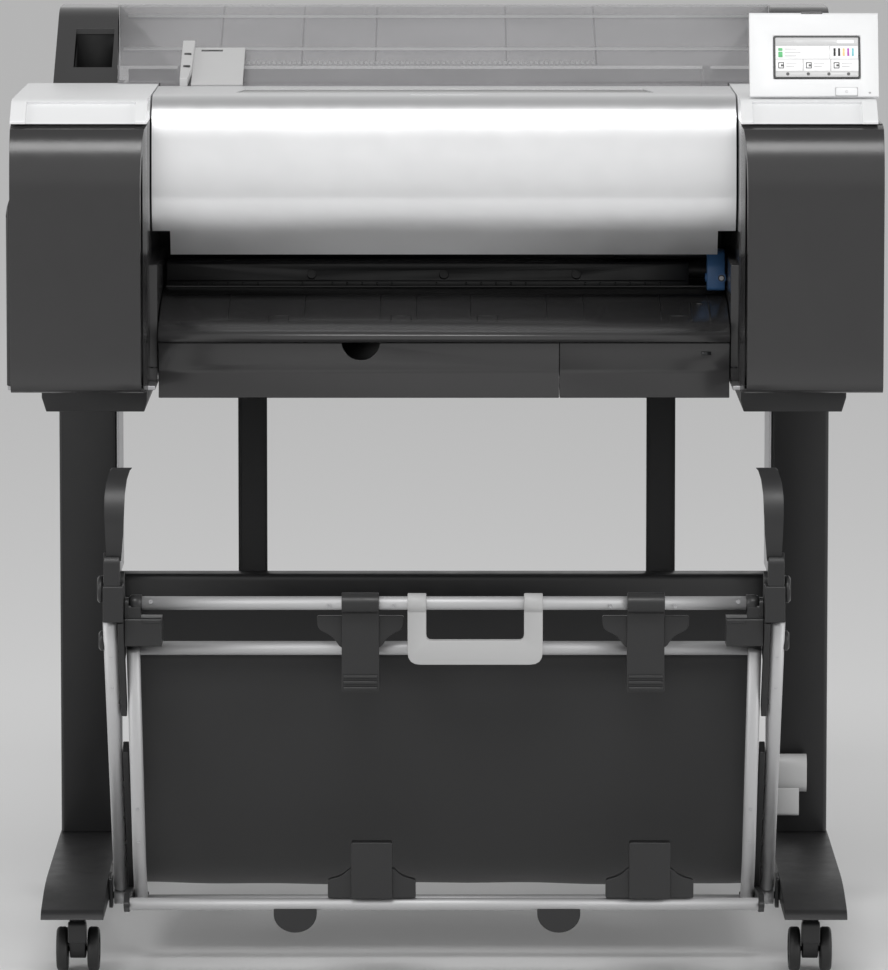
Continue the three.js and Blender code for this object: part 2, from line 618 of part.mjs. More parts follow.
function pullHandle() {
  const [front, back] = [ROD_A.y - HANDLE.half, ROD_A.y + HANDLE.half];
  const frame = prismY(rectangle(HANDLE.x0, HANDLE.x1, HANDLE.bottom, ROD_A.z, 14), front, back);
  const opening = prismY(rectangle(HANDLE.x0 + HANDLE.arm, HANDLE.x1 - HANDLE.arm, HANDLE.bottom + HANDLE.bar,
    ROD_A.z + 20, 6), front - 1, back + 1);
  const eyes = [HANDLE.x0, HANDLE.x1 - HANDLE.arm].map((x) =>
    join(barX(x, x + HANDLE.arm, ROD_A.y, ROD_A.z, 11), block(x, x + HANDLE.arm, front, back, 415, ROD_A.z)));
  const bore = barX(HANDLE.x0 - 5, HANDLE.x1 + 5, ROD_A.y, ROD_A.z, ROD_A.radius + GAP);
  return cut(join(cut(frame, opening), ...eyes), bore);
}

const clothStart = new THREE.Vector2(CLOTH.foldY - ROD_B.y, CLOTH.foldZ - ROD_B.z).setLength(ROD_B.radius + 2);

function clothFront() {
  const top = [ROD_B.y + clothStart.x, ROD_B.z + clothStart.y];
  return prismX(ribbon([top, [CLOTH.foldY - GAP, CLOTH.foldZ]], CLOTH.thick), -CLOTH.half, CLOTH.half);
}

/** Rear cloth wall, laid over the cross stay, with the two hanging straps. */
function clothRear() {
  const under = STAY.bottom - GAP;
  const behind = STAY.back + GAP;
  const wall = prismX(
    ribbon([[CLOTH.foldY + 3, CLOTH.foldZ], [-60, 112], [20, 205], [66, 320], [84, under - 1]], CLOTH.thick),
    -CLOTH.half, CLOTH.half,
  );
  const hem = block(-CLOTH.half, CLOTH.half, 82.5, behind + CLOTH.thick, under - CLOTH.thick, under);
  const straps = [[-242, -208], [238, 272]].map(([x0, x1]) =>
    block(x0, x1, behind, behind + CLOTH.thick, under - 1, CHASSIS.bottom - GAP));
  return join(wall, hem, ...straps);
}

for (const [name, side] of SIDES) {
  piece(`outer_tube_${name}`, outerTube(side), steel);
  piece(`side_arm_${name}`, sideArm(side), black);
  piece(`corner_block_${name}`, cornerBlock(side), black);
}
piece('rod_b', barX(-PLATE.inner + GAP, PLATE.inner - GAP, ROD_B.y, ROD_B.z, ROD_B.radius), steel);
piece('bottom_rod', barX(-PLATE.inner + GAP, PLATE.inner - GAP, ROD_FRONT.y, ROD_FRONT.z, ROD_FRONT.radius), steel);
piece('inner_frame', innerFrame(), steel);
piece('rod_a', barX(-340.7, 340.7, ROD_A.y, ROD_A.z, ROD_A.radius), steel);
piece('lower_clip_left', lowerClip(-80.5), black);
piece('lower_clip_right', lowerClip(229), black);
piece('upper_clip_left', upperClip(-92), black);
piece('upper_clip_right', upperClip(222), black);
piece('pull_handle', pullHandle(), greyPlastic);
piece('cloth_front', clothFront(), cloth);
piece('cloth_rear', clothRear(), cloth);

export default machine;
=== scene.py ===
"""Large format roll plotter on a wheeled stand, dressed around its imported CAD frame. Metres, +Z up, front at -Y."""
import json
import math

import bmesh
import bpy
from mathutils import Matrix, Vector


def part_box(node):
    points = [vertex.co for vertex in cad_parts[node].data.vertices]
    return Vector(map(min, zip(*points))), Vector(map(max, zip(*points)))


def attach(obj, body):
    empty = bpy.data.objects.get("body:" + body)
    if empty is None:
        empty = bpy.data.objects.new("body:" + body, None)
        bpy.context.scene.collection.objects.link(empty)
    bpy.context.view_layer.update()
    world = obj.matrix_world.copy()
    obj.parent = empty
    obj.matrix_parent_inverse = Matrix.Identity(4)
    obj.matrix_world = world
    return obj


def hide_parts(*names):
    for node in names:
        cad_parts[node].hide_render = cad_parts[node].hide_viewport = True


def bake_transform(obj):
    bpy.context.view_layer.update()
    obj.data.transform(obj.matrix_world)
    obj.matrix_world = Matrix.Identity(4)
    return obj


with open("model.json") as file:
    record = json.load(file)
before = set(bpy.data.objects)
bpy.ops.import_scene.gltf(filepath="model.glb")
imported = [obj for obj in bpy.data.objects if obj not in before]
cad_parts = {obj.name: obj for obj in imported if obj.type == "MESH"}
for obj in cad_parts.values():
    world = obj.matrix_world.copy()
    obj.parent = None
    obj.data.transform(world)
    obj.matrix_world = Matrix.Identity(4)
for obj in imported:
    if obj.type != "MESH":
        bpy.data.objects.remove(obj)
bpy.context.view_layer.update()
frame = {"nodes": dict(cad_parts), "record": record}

MM = 0.001
RECORD = frame["record"]
BODY_OF = {node: body for body, nodes in RECORD["behaviour"]["bodies"].items() for node in nodes}
SLOT_OF = {part["node"]: part["material_slot"] for part in RECORD["subparts"]}


# ---------------------------------------------------------------- materials
def new_material(name, color, roughness, metallic=0.0):
    material = bpy.data.materials.new(name)
    material.use_nodes = True
    shader = material.node_tree.nodes["Principled BSDF"]
    shader.inputs["Base Color"].default_value = (*color, 1.0)
    shader.inputs["Roughness"].default_value = roughness
    shader.inputs["Metallic"].default_value = metallic
    return material, shader


def add_node(material, kind, **inputs):
    node = material.node_tree.nodes.new(kind)
    for key, value in inputs.items():
        node.inputs[key.replace("_", " ")].default_value = value
    return node


def link(material, source, target):
    material.node_tree.links.new(source, target)


def object_coordinates(material, scale=(1.0, 1.0, 1.0)):
    place = material.node_tree.nodes.new("ShaderNodeTexCoord")
    mapping = material.node_tree.nodes.new("ShaderNodeMapping")
    mapping.inputs["Scale"].default_value = scale
    link(material, place.outputs["Object"], mapping.inputs["Vector"])
    return mapping.outputs["Vector"]


def ramp(material, factor, low, high, start=0.3, end=0.7):
    """Colour that goes from low to high as factor goes from start to end."""
    node = material.node_tree.nodes.new("ShaderNodeValToRGB")
    node.color_ramp.elements[0].position = start
    node.color_ramp.elements[0].color = (*low, 1.0)
    node.color_ramp.elements[1].position = end
    node.color_ramp.elements[1].color = (*high, 1.0)
    link(material, factor, node.inputs["Fac"])
    return node.outputs["Color"]


def vary(color, share):
    return tuple(min(channel * share, 1.0) for channel in color)


def grain(material, shader, vector, scale, strength, distance):
    """Fine moulded or sprayed grain, as bump."""
    noise = add_node(material, "ShaderNodeTexNoise", Scale=scale, Detail=3.0, Roughness=0.55)
    link(material, vector, noise.inputs["Vector"])
    bump = add_node(material, "ShaderNodeBump", Strength=strength, Distance=distance)
    link(material, noise.outputs["Fac"], bump.inputs["Height"])
    link(material, bump.outputs["Normal"], shader.inputs["Normal"])
    return noise.outputs["Fac"]


def moulded(name, color, roughness, spread=0.06, rough_spread=0.06, grain_scale=1500.0, strength=0.12, metallic=0.0):
    """Moulded plastic: fine grain, faint colour drift and hand-worn patches of gloss."""
    material, shader = new_material(name, color, roughness, metallic)
    vector = object_coordinates(material)
    grain(material, shader, vector, grain_scale, strength, 0.0002)
    drift = add_node(material, "ShaderNodeTexNoise", Scale=6.0, Detail=4.0)
    link(material, vector, drift.inputs["Vector"])
    tint = ramp(material, drift.outputs["Fac"], vary(color, 1.0 - spread), vary(color, 1.0 + spread))
    link(material, tint, shader.inputs["Base Color"])
    wear = add_node(material, "ShaderNodeTexNoise", Scale=38.0, Detail=5.0, Roughness=0.6)
    link(material, vector, wear.inputs["Vector"])
    gloss = ramp(material, wear.outputs["Fac"], (roughness - rough_spread,) * 3, (roughness + rough_spread,) * 3)
    link(material, gloss, shader.inputs["Roughness"])
    return material


def brushed(name, color, roughness, stretch, spread=0.06, metallic=0.85):
    """Drawn or brushed metal: fine lines along one axis."""
    material, shader = new_material(name, color, roughness, metallic)
    vector = object_coordinates(material, stretch)
    lines = add_node(material, "ShaderNodeTexNoise", Scale=900.0, Detail=4.0, Roughness=0.7)
    link(material, vector, lines.inputs["Vector"])
    tint = ramp(material, lines.outputs["Fac"], vary(color, 1.0 - spread), vary(color, 1.0 + spread))
    link(material, tint, shader.inputs["Base Color"])
    gloss = ramp(material, lines.outputs["Fac"], (roughness - spread,) * 3, (roughness + spread,) * 3)
    link(material, gloss, shader.inputs["Roughness"])
    bump = add_node(material, "ShaderNodeBump", Strength=spread, Distance=0.0001)
    link(material, lines.outputs["Fac"], bump.inputs["Height"])
    link(material, bump.outputs["Normal"], shader.inputs["Normal"])
    return material


def smoked(name, color, roughness, see_through):
    """Translucent grey plastic: partly clear, with a faint haze."""
    material, shader = new_material(name, color, roughness)
    shader.inputs["Alpha"].default_value = 1.0 - see_through
    shader.inputs["IOR"].default_value = 1.49
    vector = object_coordinates(material)
    haze = add_node(material, "ShaderNodeTexNoise", Scale=9.0, Detail=3.0)
    link(material, vector, haze.inputs["Vector"])
    tint = ramp(material, haze.outputs["Fac"], vary(color, 0.93), vary(color, 1.06))
    link(material, tint, shader.inputs["Base Color"])
    grain(material, shader, vector, 700.0, 0.05, 0.0002)
    return material


def woven(name, color):
    """Plain weave of polyester: two sets of threads, a little fuzz and sheen."""
    material, shader = new_material(name, color, 0.85)
    shader.inputs["Sheen Weight"].default_value = 0.25
    shader.inputs["Sheen Roughness"].default_value = 0.5
    vector = object_coordinates(material)
    threads = []
    for axis in ("X", "Z"):
        wave = add_node(material, "ShaderNodeTexWave", Scale=420.0, Distortion=0.6, Detail=1.0)
        wave.bands_direction = axis
        link(material, vector, wave.inputs["Vector"])
        threads.append(wave.outputs["Fac"])
    weave = material.node_tree.nodes.new("ShaderNodeMath")
    weave.operation = "MULTIPLY"
    link(material, threads[0], weave.inputs[0])
    link(material, threads[1], weave.inputs[1])
    tint = ramp(material, weave.outputs["Value"], vary(color, 0.7), vary(color, 1.35), 0.0, 1.0)
    link(material, tint, shader.inputs["Base Color"])
    bump = add_node(material, "ShaderNodeBump", Strength=0.35, Distance=0.0004)
    link(material, weave.outputs["Value"], bump.inputs["Height"])
    link(material, bump.outputs["Normal"], shader.inputs["Normal"])
    return material


MATERIALS = {
    "white_plastic": moulded("white_moulded", (0.78, 0.785, 0.79), 0.42, 0.012, 0.04),
    "silver_cover": moulded("pearl_silver", (0.84, 0.843, 0.85), 0.32, 0.012, 0.03, 2200.0, 0.04, metallic=0.93),
    "charcoal_plastic": moulded("charcoal_moulded", (0.031, 0.0305, 0.031), 0.21, 0.04, 0.02),
    "black_plastic": moulded("black_moulded", (0.0135, 0.0135, 0.014), 0.38, 0.08, 0.05),
    "stand_black": moulded("black_powder_coat", (0.0115, 0.0115, 0.012), 0.42, 0.08, 0.05, 900.0, 0.2),
    "tube_aluminium": brushed("satin_aluminium", (0.48, 0.48, 0.485), 0.50, (1.0, 1.0, 1.0), 0.02, 0.6),
    "steel": brushed("brushed_steel", (0.42, 0.42, 0.43), 0.36, (0.05, 1.0, 1.0)),
    "grey_plastic": moulded("grey_moulded", (0.40, 0.40, 0.40), 0.45, 0.03, 0.05),
    "smoke_cover": smoked("smoked_clear", (0.46, 0.455, 0.47), 0.22, 0.58),
    "blue_plastic": moulded("blue_moulded", (0.05, 0.135, 0.30), 0.4, 0.05, 0.05),
    "caster_rubber": moulded("caster_tread", (0.013, 0.013, 0.013), 0.5, 0.1, 0.08, 500.0, 0.3),
    "cloth_black": woven("woven_black", (0.0145, 0.0145, 0.015)),
    "screen_glass": moulded("display_black", (0.012, 0.013, 0.014), 0.14, 0.02, 0.02, 1500.0, 0.0),
}


# ---------------------------------------------------------------- making pieces
def finish_piece(obj, body, slot, nodes=(), material=None):
    """Material, slot and replaced nodes of a piece. Without a body it stays unattached."""
    obj.data.materials.clear()
    obj.data.materials.append(material or MATERIALS[slot])
    if body:
        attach(obj, body)
    if nodes:
        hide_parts(*nodes)
    return obj


def object_from(name, mesh_data):
    mesh = bpy.data.meshes.new(name)
    mesh_data.to_mesh(mesh)
    mesh_data.free()
    mesh.shade_smooth()
    obj = bpy.data.objects.new(name, mesh)
    bpy.context.scene.collection.objects.link(obj)
    return obj


def soften(obj, width, segments=2, angle=32.0):
    """Rounds every edge sharper than angle by width metres."""
    bevel = obj.modifiers.new("edge", "BEVEL")
    bevel.width = width
    bevel.segments = segments
    bevel.limit_method = "ANGLE"
    bevel.angle_limit = math.radians(angle)
    bevel.harden_normals = True
    return obj


def refined(node, width=0.9 * MM, segments=2, cuts=()):
    """The CAD node's own shape as a clean mesh with softened edges."""
    shape = bmesh.new()
    shape.from_mesh(frame["nodes"][node].data)
    bmesh.ops.remove_doubles(shape, verts=shape.verts, dist=1e-5)
    obj = object_from(f"{node}_skin", shape)
    if cuts:
        cut_out(obj, *cuts)
    shape = bmesh.new()
    shape.from_mesh(obj.data)
    bmesh.ops.dissolve_limit(shape, angle_limit=math.radians(0.6), verts=shape.verts, edges=shape.edges)
    shape.to_mesh(obj.data)
    shape.free()
    soften(obj, width, segments)
    return finish_piece(obj, BODY_OF[node], SLOT_OF[node], (node,))


# The pieces below are drawn in millimetres from the middle of the machine, with y = -330 at the doors' front.
DOOR_FRONT = -330
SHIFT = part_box("ink_door_right")[0][1] - DOOR_FRONT * MM
SIDES = (("left", -1), ("right", 1))


def at(x, y, z):
    return Vector((x * MM, y * MM + SHIFT, z * MM))


def rounded(points, steps=8):
    """[a, b, radius] corners to a dense closed outline; each corner is a quadratic arc."""
    out = []
    corners = [(Vector(point[:2]), point[2] if len(point) > 2 else 0) for point in points]
    for index, (corner, radius) in enumerate(corners):
        if radius == 0:
            out.append(corner)
            continue
        arms = []
        for other in (corners[index - 1][0], corners[(index + 1) % len(corners)][0]):
            arm = other - corner
            arms.append(corner + arm.normalized() * min(radius, arm.length * 0.49))
        for step in range(steps + 1):
            t = step / steps
            out.append(arms[0] * (1 - t) ** 2 + corner * 2 * t * (1 - t) + arms[1] * t * t)
    return out


def ribbon(line, thickness):
    """Outline of a strip of even thickness along a line of (a, b) points."""
    points = [Vector(point) for point in line]
    sides = ([], [])
    for index, point in enumerate(points):
        along = points[min(index + 1, len(points) - 1)] - points[max(index - 1, 0)]
        square = Vector((-along.y, along.x)).normalized() * thickness / 2
        sides[0].append(point + square)
        sides[1].append(point - square)
    return [tuple(point) for point in sides[0] + sides[1][::-1]]


def curve_through(points, steps=10):
    """Smooth line through (a, b) points, Catmull-Rom."""
    line = [Vector(point) for point in points]
    line = [line[0] * 2 - line[1]] + line + [line[-1] * 2 - line[-2]]
    out = []
    for index in range(1, len(line) - 2):
        p0, p1, p2, p3 = line[index - 1:index + 3]
        for step in range(steps):
            t = step / steps
            out.append(0.5 * (2 * p1 + (p2 - p0) * t + (2 * p0 - 5 * p1 + 4 * p2 - p3) * t * t
                              + (3 * p1 - p0 - 3 * p2 + p3) * t ** 3))
    out.append(line[-2])
    return [tuple(point) for point in out]


def prism(outline, low, high, place, columns=1):
    """Closed body: an outline drawn out between low and high. place(a, b, depth) gives each corner."""
    shape = bmesh.new()
    rings = []
    for column in range(columns + 1):
        depth = low + (high - low) * column / columns
        rings.append([shape.verts.new(place(a, b, depth)) for a, b, *_ in outline])
    for near, far in zip(rings, rings[1:]):
        for index in range(len(outline)):
            after = (index + 1) % len(outline)
            shape.faces.new((near[index], near[after], far[after], far[index]))
    shape.faces.new(rings[0][::-1])
    shape.faces.new(rings[-1])
    bmesh.ops.recalc_face_normals(shape, faces=shape.faces)
    return shape


def prism_x(outline, x0, x1, columns=1):
    return prism(outline, x0, x1, lambda y, z, x: at(x, y, z), columns)


def prism_y(outline, y0, y1):
    return prism(outline, y0, y1, lambda x, z, y: at(x, y, z))


def prism_z(outline, z0, z1):
    return prism(outline, z0, z1, lambda x, y, z: at(x, y, z))


def rectangle(a0, a1, b0, b1, radius=0):
    return [(a0, b0, radius), (a1, b0, radius), (a1, b1, radius), (a0, b1, radius)]


def circle(a, b, radius, sides=24):
    return [(a + radius * math.cos(2 * math.pi * step / sides), b + radius * math.sin(2 * math.pi * step / sides))
            for step in range(sides)]


def turned_x(profile, y, z, sides=64):
    """Body turned about an X line through y, z. profile: (x, radius) from axis to axis."""
    shape = bmesh.new()
    rings = []
    for x, radius in profile:
        if radius == 0:
            rings.append([shape.verts.new(at(x, y, z))])
            continue
        ring = []
        for side in range(sides):
            angle = 2 * math.pi * side / sides
            ring.append(shape.verts.new(at(x, y + radius * math.cos(angle), z + radius * math.sin(angle))))
        rings.append(ring)
    for near, far in zip(rings, rings[1:]):
        for side in range(sides):
            after = (side + 1) % sides
            corners = [near[side % len(near)], near[after % len(near)], far[after % len(far)], far[side % len(far)]]
            shape.faces.new(list(dict.fromkeys(corners)))
    bmesh.ops.recalc_face_normals(shape, faces=shape.faces)
    return shape


def tube(name, points, radius, fillet=18):
    """Round tube through millimetre points, with its bends rounded, as a mesh."""
    curve = bpy.data.curves.new(name, "CURVE")
    curve.dimensions = "3D"
    curve.bevel_depth = radius * MM
    curve.bevel_resolution = 8
    curve.use_fill_caps = True
    route = [Vector(points[0])]
    for before, bend, after in zip(points, points[1:], points[2:]):
        bend = Vector(bend)
        start = bend + (Vector(before) - bend).normalized() * fillet
        end = bend + (Vector(after) - bend).normalized() * fillet
        for step in range(9):
            t = step / 8
            route.append(start * (1 - t) ** 2 + bend * 2 * t * (1 - t) + end * t * t)
    route.append(Vector(points[-1]))
    spline = curve.splines.new("POLY")
    spline.points.add(len(route) - 1)
    for point, place in zip(spline.points, route):
        point.co = (*at(*place), 1.0)
    holder = bpy.data.objects.new(name + "_line", curve)
    bpy.context.scene.collection.objects.link(holder)
    mesh = bpy.data.meshes.new_from_object(holder.evaluated_get(bpy.context.evaluated_depsgraph_get()))
    bpy.data.objects.remove(holder)
    shape = bmesh.new()
    shape.from_mesh(mesh)
    bmesh.ops.remove_doubles(shape, verts=shape.verts, dist=1e-6)
    bmesh.ops.recalc_face_normals(shape, faces=shape.faces)
    return shape


def merged(*shapes):
    """Several closed bodies as one mesh."""
    whole = bmesh.new()
    for shape in shapes:
        mesh = bpy.data.meshes.new("merge")
        shape.to_mesh(mesh)
        shape.free()
        whole.from_mesh(mesh)
        bpy.data.meshes.remove(mesh)
    return whole


def cut_out(obj, *tools, operation="DIFFERENCE"):
    """Subtracts the tool bodies from obj, or keeps what lies inside them, and applies the result."""
    for index, tool in enumerate(tools):
        cutter = object_from(f"{obj.name}_tool{index}", tool)
        modifier = obj.modifiers.new("cut", "BOOLEAN")
        modifier.object = cutter
        modifier.operation = operation
        modifier.solver = "EXACT"
        result = bpy.data.meshes.new_from_object(obj.evaluated_get(bpy.context.evaluated_depsgraph_get()))
        obj.modifiers.remove(modifier)
        obj.data = result
        bpy.data.objects.remove(cutter)
    obj.data.shade_smooth()
    return obj


def add(name, shape, body, slot, nodes=(), width=0.0, segments=2, material=None, tools=(), inside=None):
    """A new piece from a body in bmesh, with its cuts, soft edges, body and slot."""
    obj = object_from(name, shape)
    if tools:
        cut_out(obj, *tools)
    if inside:
        cut_out(obj, inside, operation="INTERSECT")
    if width:
        soften(obj, width * MM, segments)
    return finish_piece(obj, body, slot, nodes, material)


# ---------------------------------------------------------------- driving sizes repeated from the frame's design
ROD_A = (-457, 437.8, 7.5)
ROD_B = (-423, 383.4, 7.75)
ROD_FRONT = (-374, 88.8, 7.0)
PIVOT = (-232, 74.8)
COVER_HALF = 329
TABLE = 980


# ---------------------------------------------------------------- top cover
COVER_OUTER = [(8, 960), (8, TABLE, 8), (-188, TABLE, 24), (-207, 957, 26), (-218, 884, 30), (-217, 852, 30), (-184, 800)]
COVER_INNER = [(4, 930), (4, 976, 4), (-186, 976, 22), (-203, 955, 24), (-214, 884, 28), (-213, 853, 28), (-172, 789),
               (-100, 760)]


def top_cover():
    shell = prism_x(rounded(COVER_OUTER, 18), -COVER_HALF, COVER_HALF)
    inside = prism_x(rounded(COVER_INNER, 14), 4 - COVER_HALF, COVER_HALF - 4)
    steps = [prism_x(rectangle(-230, 10, 780, 828), side * 309, side * 331) for _, side in SIDES]
    window = prism_z(rounded([(-237, -128), (239, -128), (228, -62), (-226, -62)]), TABLE - 1.6, TABLE + 1)
    finger = prism_z(rounded(rectangle(-38, 40, -172, -169, 1)), TABLE - 0.8, TABLE + 1)
    add("top_cover_shell", shell, "top_cover", "silver_cover", ("top_cover",), 1.0, 3,
        tools=(inside, *steps, window, finger))
    pane = prism_z(rounded([(-236, -127), (238, -127), (227.4, -63), (-225.4, -63)]), TABLE - 1.7, TABLE - 0.9)
    add("top_cover_window", pane, "top_cover", "grey_plastic")


top_cover()


# ---------------------------------------------------------------- tubes and rods of the basket
def basket_metal():
    for name, side in SIDES:
        x = side * 366
        rise = Vector((0, -250, 346.2))
        start = Vector((x, *PIVOT))
        add(f"outer_tube_{name}_metal", merged(
            tube("outer", [start + rise * 0.035, start + rise * 0.998], 8),
            turned_x([(side * 358, 0), (side * 358, 10), (side * 374, 10), (side * 374, 0)], *PIVOT, 32)),
            "basket_frame", "tube_aluminium", (f"outer_tube_{name}",))
        ear = prism_x(ribbon([(PIVOT[0] + 7, PIVOT[1]), (-266, 73.6)], 13), side * 339, side * 345)
        add(f"inner_frame_ear_{name}", ear, "stacker_frame", "black_plastic", width=0.8)
    uprights = [tube("inner", [(side * 342, -262, 74), (side * 342, -311, 121), (side * 342, -448, 385)], 7.5, 24)
                for _, side in SIDES]
    rear = tube("rear_rod", [(-342, -262, 74), (342, -262, 74)], 6.5)
    add("inner_frame_metal", merged(rear, *uprights), "stacker_frame", "tube_aluminium", ("inner_frame",))
    for name, node, body, half, (y, z, radius) in (
        ("upper_rod_metal", "rod_a", "stacker_frame", 340.5, ROD_A),
        ("cloth_rod_metal", "rod_b", "basket_frame", 350.5, ROD_B),
        ("front_rod_metal", "bottom_rod", "basket_frame", 350.5, ROD_FRONT),
    ):
        add(name, tube(name, [(-half, y, z), (half, y, z)], radius), body, "tube_aluminium", (node,))


def small_screw(name, x, y, z, radius, body):
    """Cross-head screw facing the front."""
    head = prism_y(circle(x, z, radius), y, y + 2.4)
    slots = [prism_y(rectangle(x - a, x + a, z - b, z + b), y - 1, y + 0.5)
             for a, b in ((radius * 0.65, 0.25), (0.25, radius * 0.65))]
    add(name, head, body, "steel", width=0.35, tools=slots)


def basket_fittings():
    """Rod end caps, screws, knobs and the two tabs below the front rod."""
    for index, x in enumerate((-322, -127, -56, 183, 254, 323)):
        drop = 2.5 if abs(x) > 300 else -2.5
        small_screw(f"upper_rod_screw_{index}", x, ROD_A[0] - 8.6, ROD_A[1] + drop, 2.4, "stacker_frame")
    for name, side in SIDES:
        cap = [(side * 332, 0), (side * 332, 9.4), (side * 343, 9.4), (side * 346, 7), (side * 346, 0)]
        add(f"upper_rod_cap_{name}", turned_x(cap, ROD_A[0], ROD_A[1], 32), "stacker_frame", "black_plastic")
        for index, share in enumerate((0.77, 0.88)):
            y, z = PIVOT[0] - 250 * share, PIVOT[1] + 346.2 * share
            small_screw(f"outer_tube_screw_{name}_{index}", side * 366, y - 9.2, z, 2.2, "basket_frame")
        for index, (y, z) in enumerate(((-328, 153), (-349, 193))):
            small_screw(f"inner_tube_screw_{name}_{index}", side * 342, y - 8.9, z, 2.2, "stacker_frame")
        for index, (y, z, radius) in enumerate(((-480, 456, 15), (-455, 396, 11))):
            knob = [(side * 373, 0), (side * 373, radius), (side * 377.5, radius), (side * 379.5, radius - 2.5),
                    (side * 379.5, radius - 5), (side * 378.3, radius - 6), (side * 378.3, 0)]
            add(f"arm_knob_{name}_{index}", turned_x(knob, y, z, 40), "basket_frame", "black_plastic")
    for name, x in (("left", -166), ("right", 128)):
        tab = prism_y([(x + 24 * math.cos(math.radians(angle)), 78 + 21 * math.sin(math.radians(angle)))
                       for angle in range(180, 361, 6)] + [(x + 24, 90), (x - 24, 90)], -379, -370)
        add(f"rod_tab_{name}", tab, "basket_frame", "black_plastic", width=0.8)


# ---------------------------------------------------------------- basket arms, corner blocks and clips
HORN = curve_through([(-489, 490), (-500, 508), (-504, 530), (-502, 547), (-495, 563), (-483, 577), (-466, 588)], 6)


def along_arm(share, offset):
    unit = Vector((-250, 346.2)).normalized()
    spot = Vector(PIVOT) + Vector((-250, 346.2)) * share + Vector((unit.y, -unit.x)) * offset
    return spot.x, spot.y


def basket_arms():
    for name, side in SIDES:
        low, high = side * 351, side * 357.5
        strips = [prism_x([along_arm(start, -9), along_arm(end, -9), along_arm(end, 9), along_arm(start, 9)], low, high)
                  for start, end in ((0.02, 0.55), (0.68, 1.01))]
        link = prism_x(rounded([(PIVOT[0] + 10, PIVOT[1] - 10, 8), (-370, 78.8, 3), (-386, 88.8, 8), (-370, 99.8, 3),
                                (PIVOT[0] + 10, PIVOT[1] + 10, 8)]), side * 350.8, side * 357.2)
        plate = prism_x(rounded([(-462, 394, 6), (-464, 468, 8), (-446, 474, 8), (-418, 396, 6), (-414, 376, 6),
                                 (-436, 370, 6)]), side * 351.2, side * 356.8)
        upper = prism_x(rounded([(-500, 421.5, 2), (-474, 421.5), (-474, 462, 3), (-500, 462, 3)]), low, side * 373)
        lower = prism_x(rounded([(-499, 461, 2), (-476, 461), (-477, 494, 6), (-489, 499, 8), (-498, 490, 5)]),
                        side * 354.5, side * 372)
        spacers = [turned_x([(side * 357, 0), (side * 357, 5), (side * 360.5, 5), (side * 360.5, 0)],
                            *along_arm(share, 0), 20) for share in (0.12, 0.2, 0.3, 0.42, 0.72)]
        add(f"side_arm_{name}_plate", merged(*strips, link, plate, upper, lower, *spacers), "basket_frame",
            "stand_black", (f"side_arm_{name}",), 0.8)
        outline = [(side * x, z) for x, z in (
            (341.5, 588.5), (343.8, 586), (346.6, 577), (348.4, 562), (349, 542), (350, 520), (352, 500), (354, 480),
            (371, 480), (369, 500), (369.6, 516), (370.4, 542), (370.4, 560), (369, 574), (365.5, 586), (363, 588.5))]
        shape = prism_x(ribbon(HORN, 6), side * 340, side * 373)
        add(f"side_arm_{name}_horn", shape, "basket_frame", "black_plastic", width=0.9,
            inside=prism_y(outline, -540, -420))


def corner_blocks():
    for name, side in SIDES:
        low, high = side * 310, side * 350.4
        body = prism_x(rounded(rectangle(-469, -434, 391, 422.5, 4)), low, high)
        lip = prism_x(rounded(rectangle(-470.4, -468, 417, 420.5, 0.8), 3), side * 311.5, side * 331)
        arm = prism_x(rounded(rectangle(-467, -447, 420, 444, 8)), side * 346.2, high)
        neck = prism_x(rounded(rectangle(-466, -450, 418, 437, 5)), side * 333, high)
        add(f"corner_block_{name}_body", merged(body, lip, arm, neck), "stacker_frame", "black_plastic",
            (f"corner_block_{name}",), 1.2, 3)


def clips():
    for name, x in (("left", -92), ("right", 222)):
        bar = [(x - 21, 338, 3), (x + 21, 338, 3), (x + 20.5, 404, 2), (x + 20.5, 441, 2), (x - 20.5, 441, 2),
               (x - 20.5, 404, 2)]
        wings = [(x - 48, 422, 3), (x - 47, 407, 6), (x - 30, 399, 8), (x - 22, 385, 8), (x + 22, 385, 8),
                 (x + 30, 399, 8), (x + 47, 407, 6), (x + 48, 422, 3)]
        ridges = [prism_x(rounded(rectangle(-452.4, -444, z, z + 4.2, 1.8), 4), x - 19, x + 19)
                  for z in (340, 346.5, 353)]
        hook = turned_x([(x - 20.5, 0), (x - 20.5, 11.5), (x + 20.5, 11.5), (x + 20.5, 0)], ROD_A[0], ROD_A[1], 48)
        add(f"upper_clip_{name}_body", merged(prism_y(rounded(bar), -450, -441), *ridges, hook), "stacker_frame",
            "black_plastic", (f"upper_clip_{name}",), 0.9, 3)
        add(f"upper_clip_{name}_wings", prism_y(rounded(wings), -444, -438), "stacker_frame", "black_plastic",
            width=0.9)
    for name, x in (("left", -80.5), ("right", 229)):
        tongue = [(x - 23, 96.5, 2), (x - 23, 160, 3), (x + 23, 160, 3), (x + 23, 96.5, 2)]
        wings = [(x - 49, 96.5, 2), (x - 49, 117, 3), (x - 34, 121, 8), (x - 24, 130, 3), (x + 24, 130, 3),
                 (x + 34, 121, 8), (x + 49, 117, 3), (x + 49, 96.5, 2)]
        add(f"lower_clip_{name}_tongue", prism_y(rounded(tongue), -386, -367), "basket_frame", "black_plastic",
            (f"lower_clip_{name}",), 1.2, 3)
        add(f"lower_clip_{name}_wings", prism_y(rounded(wings), -380.5, -368), "basket_frame", "black_plastic",
            width=1.0)


basket_metal()
basket_fittings()
basket_arms()
corner_blocks()
clips()


# ---------------------------------------------------------------- casters
WHEEL = {"radius": 25, "inner": 11, "outer": 24}


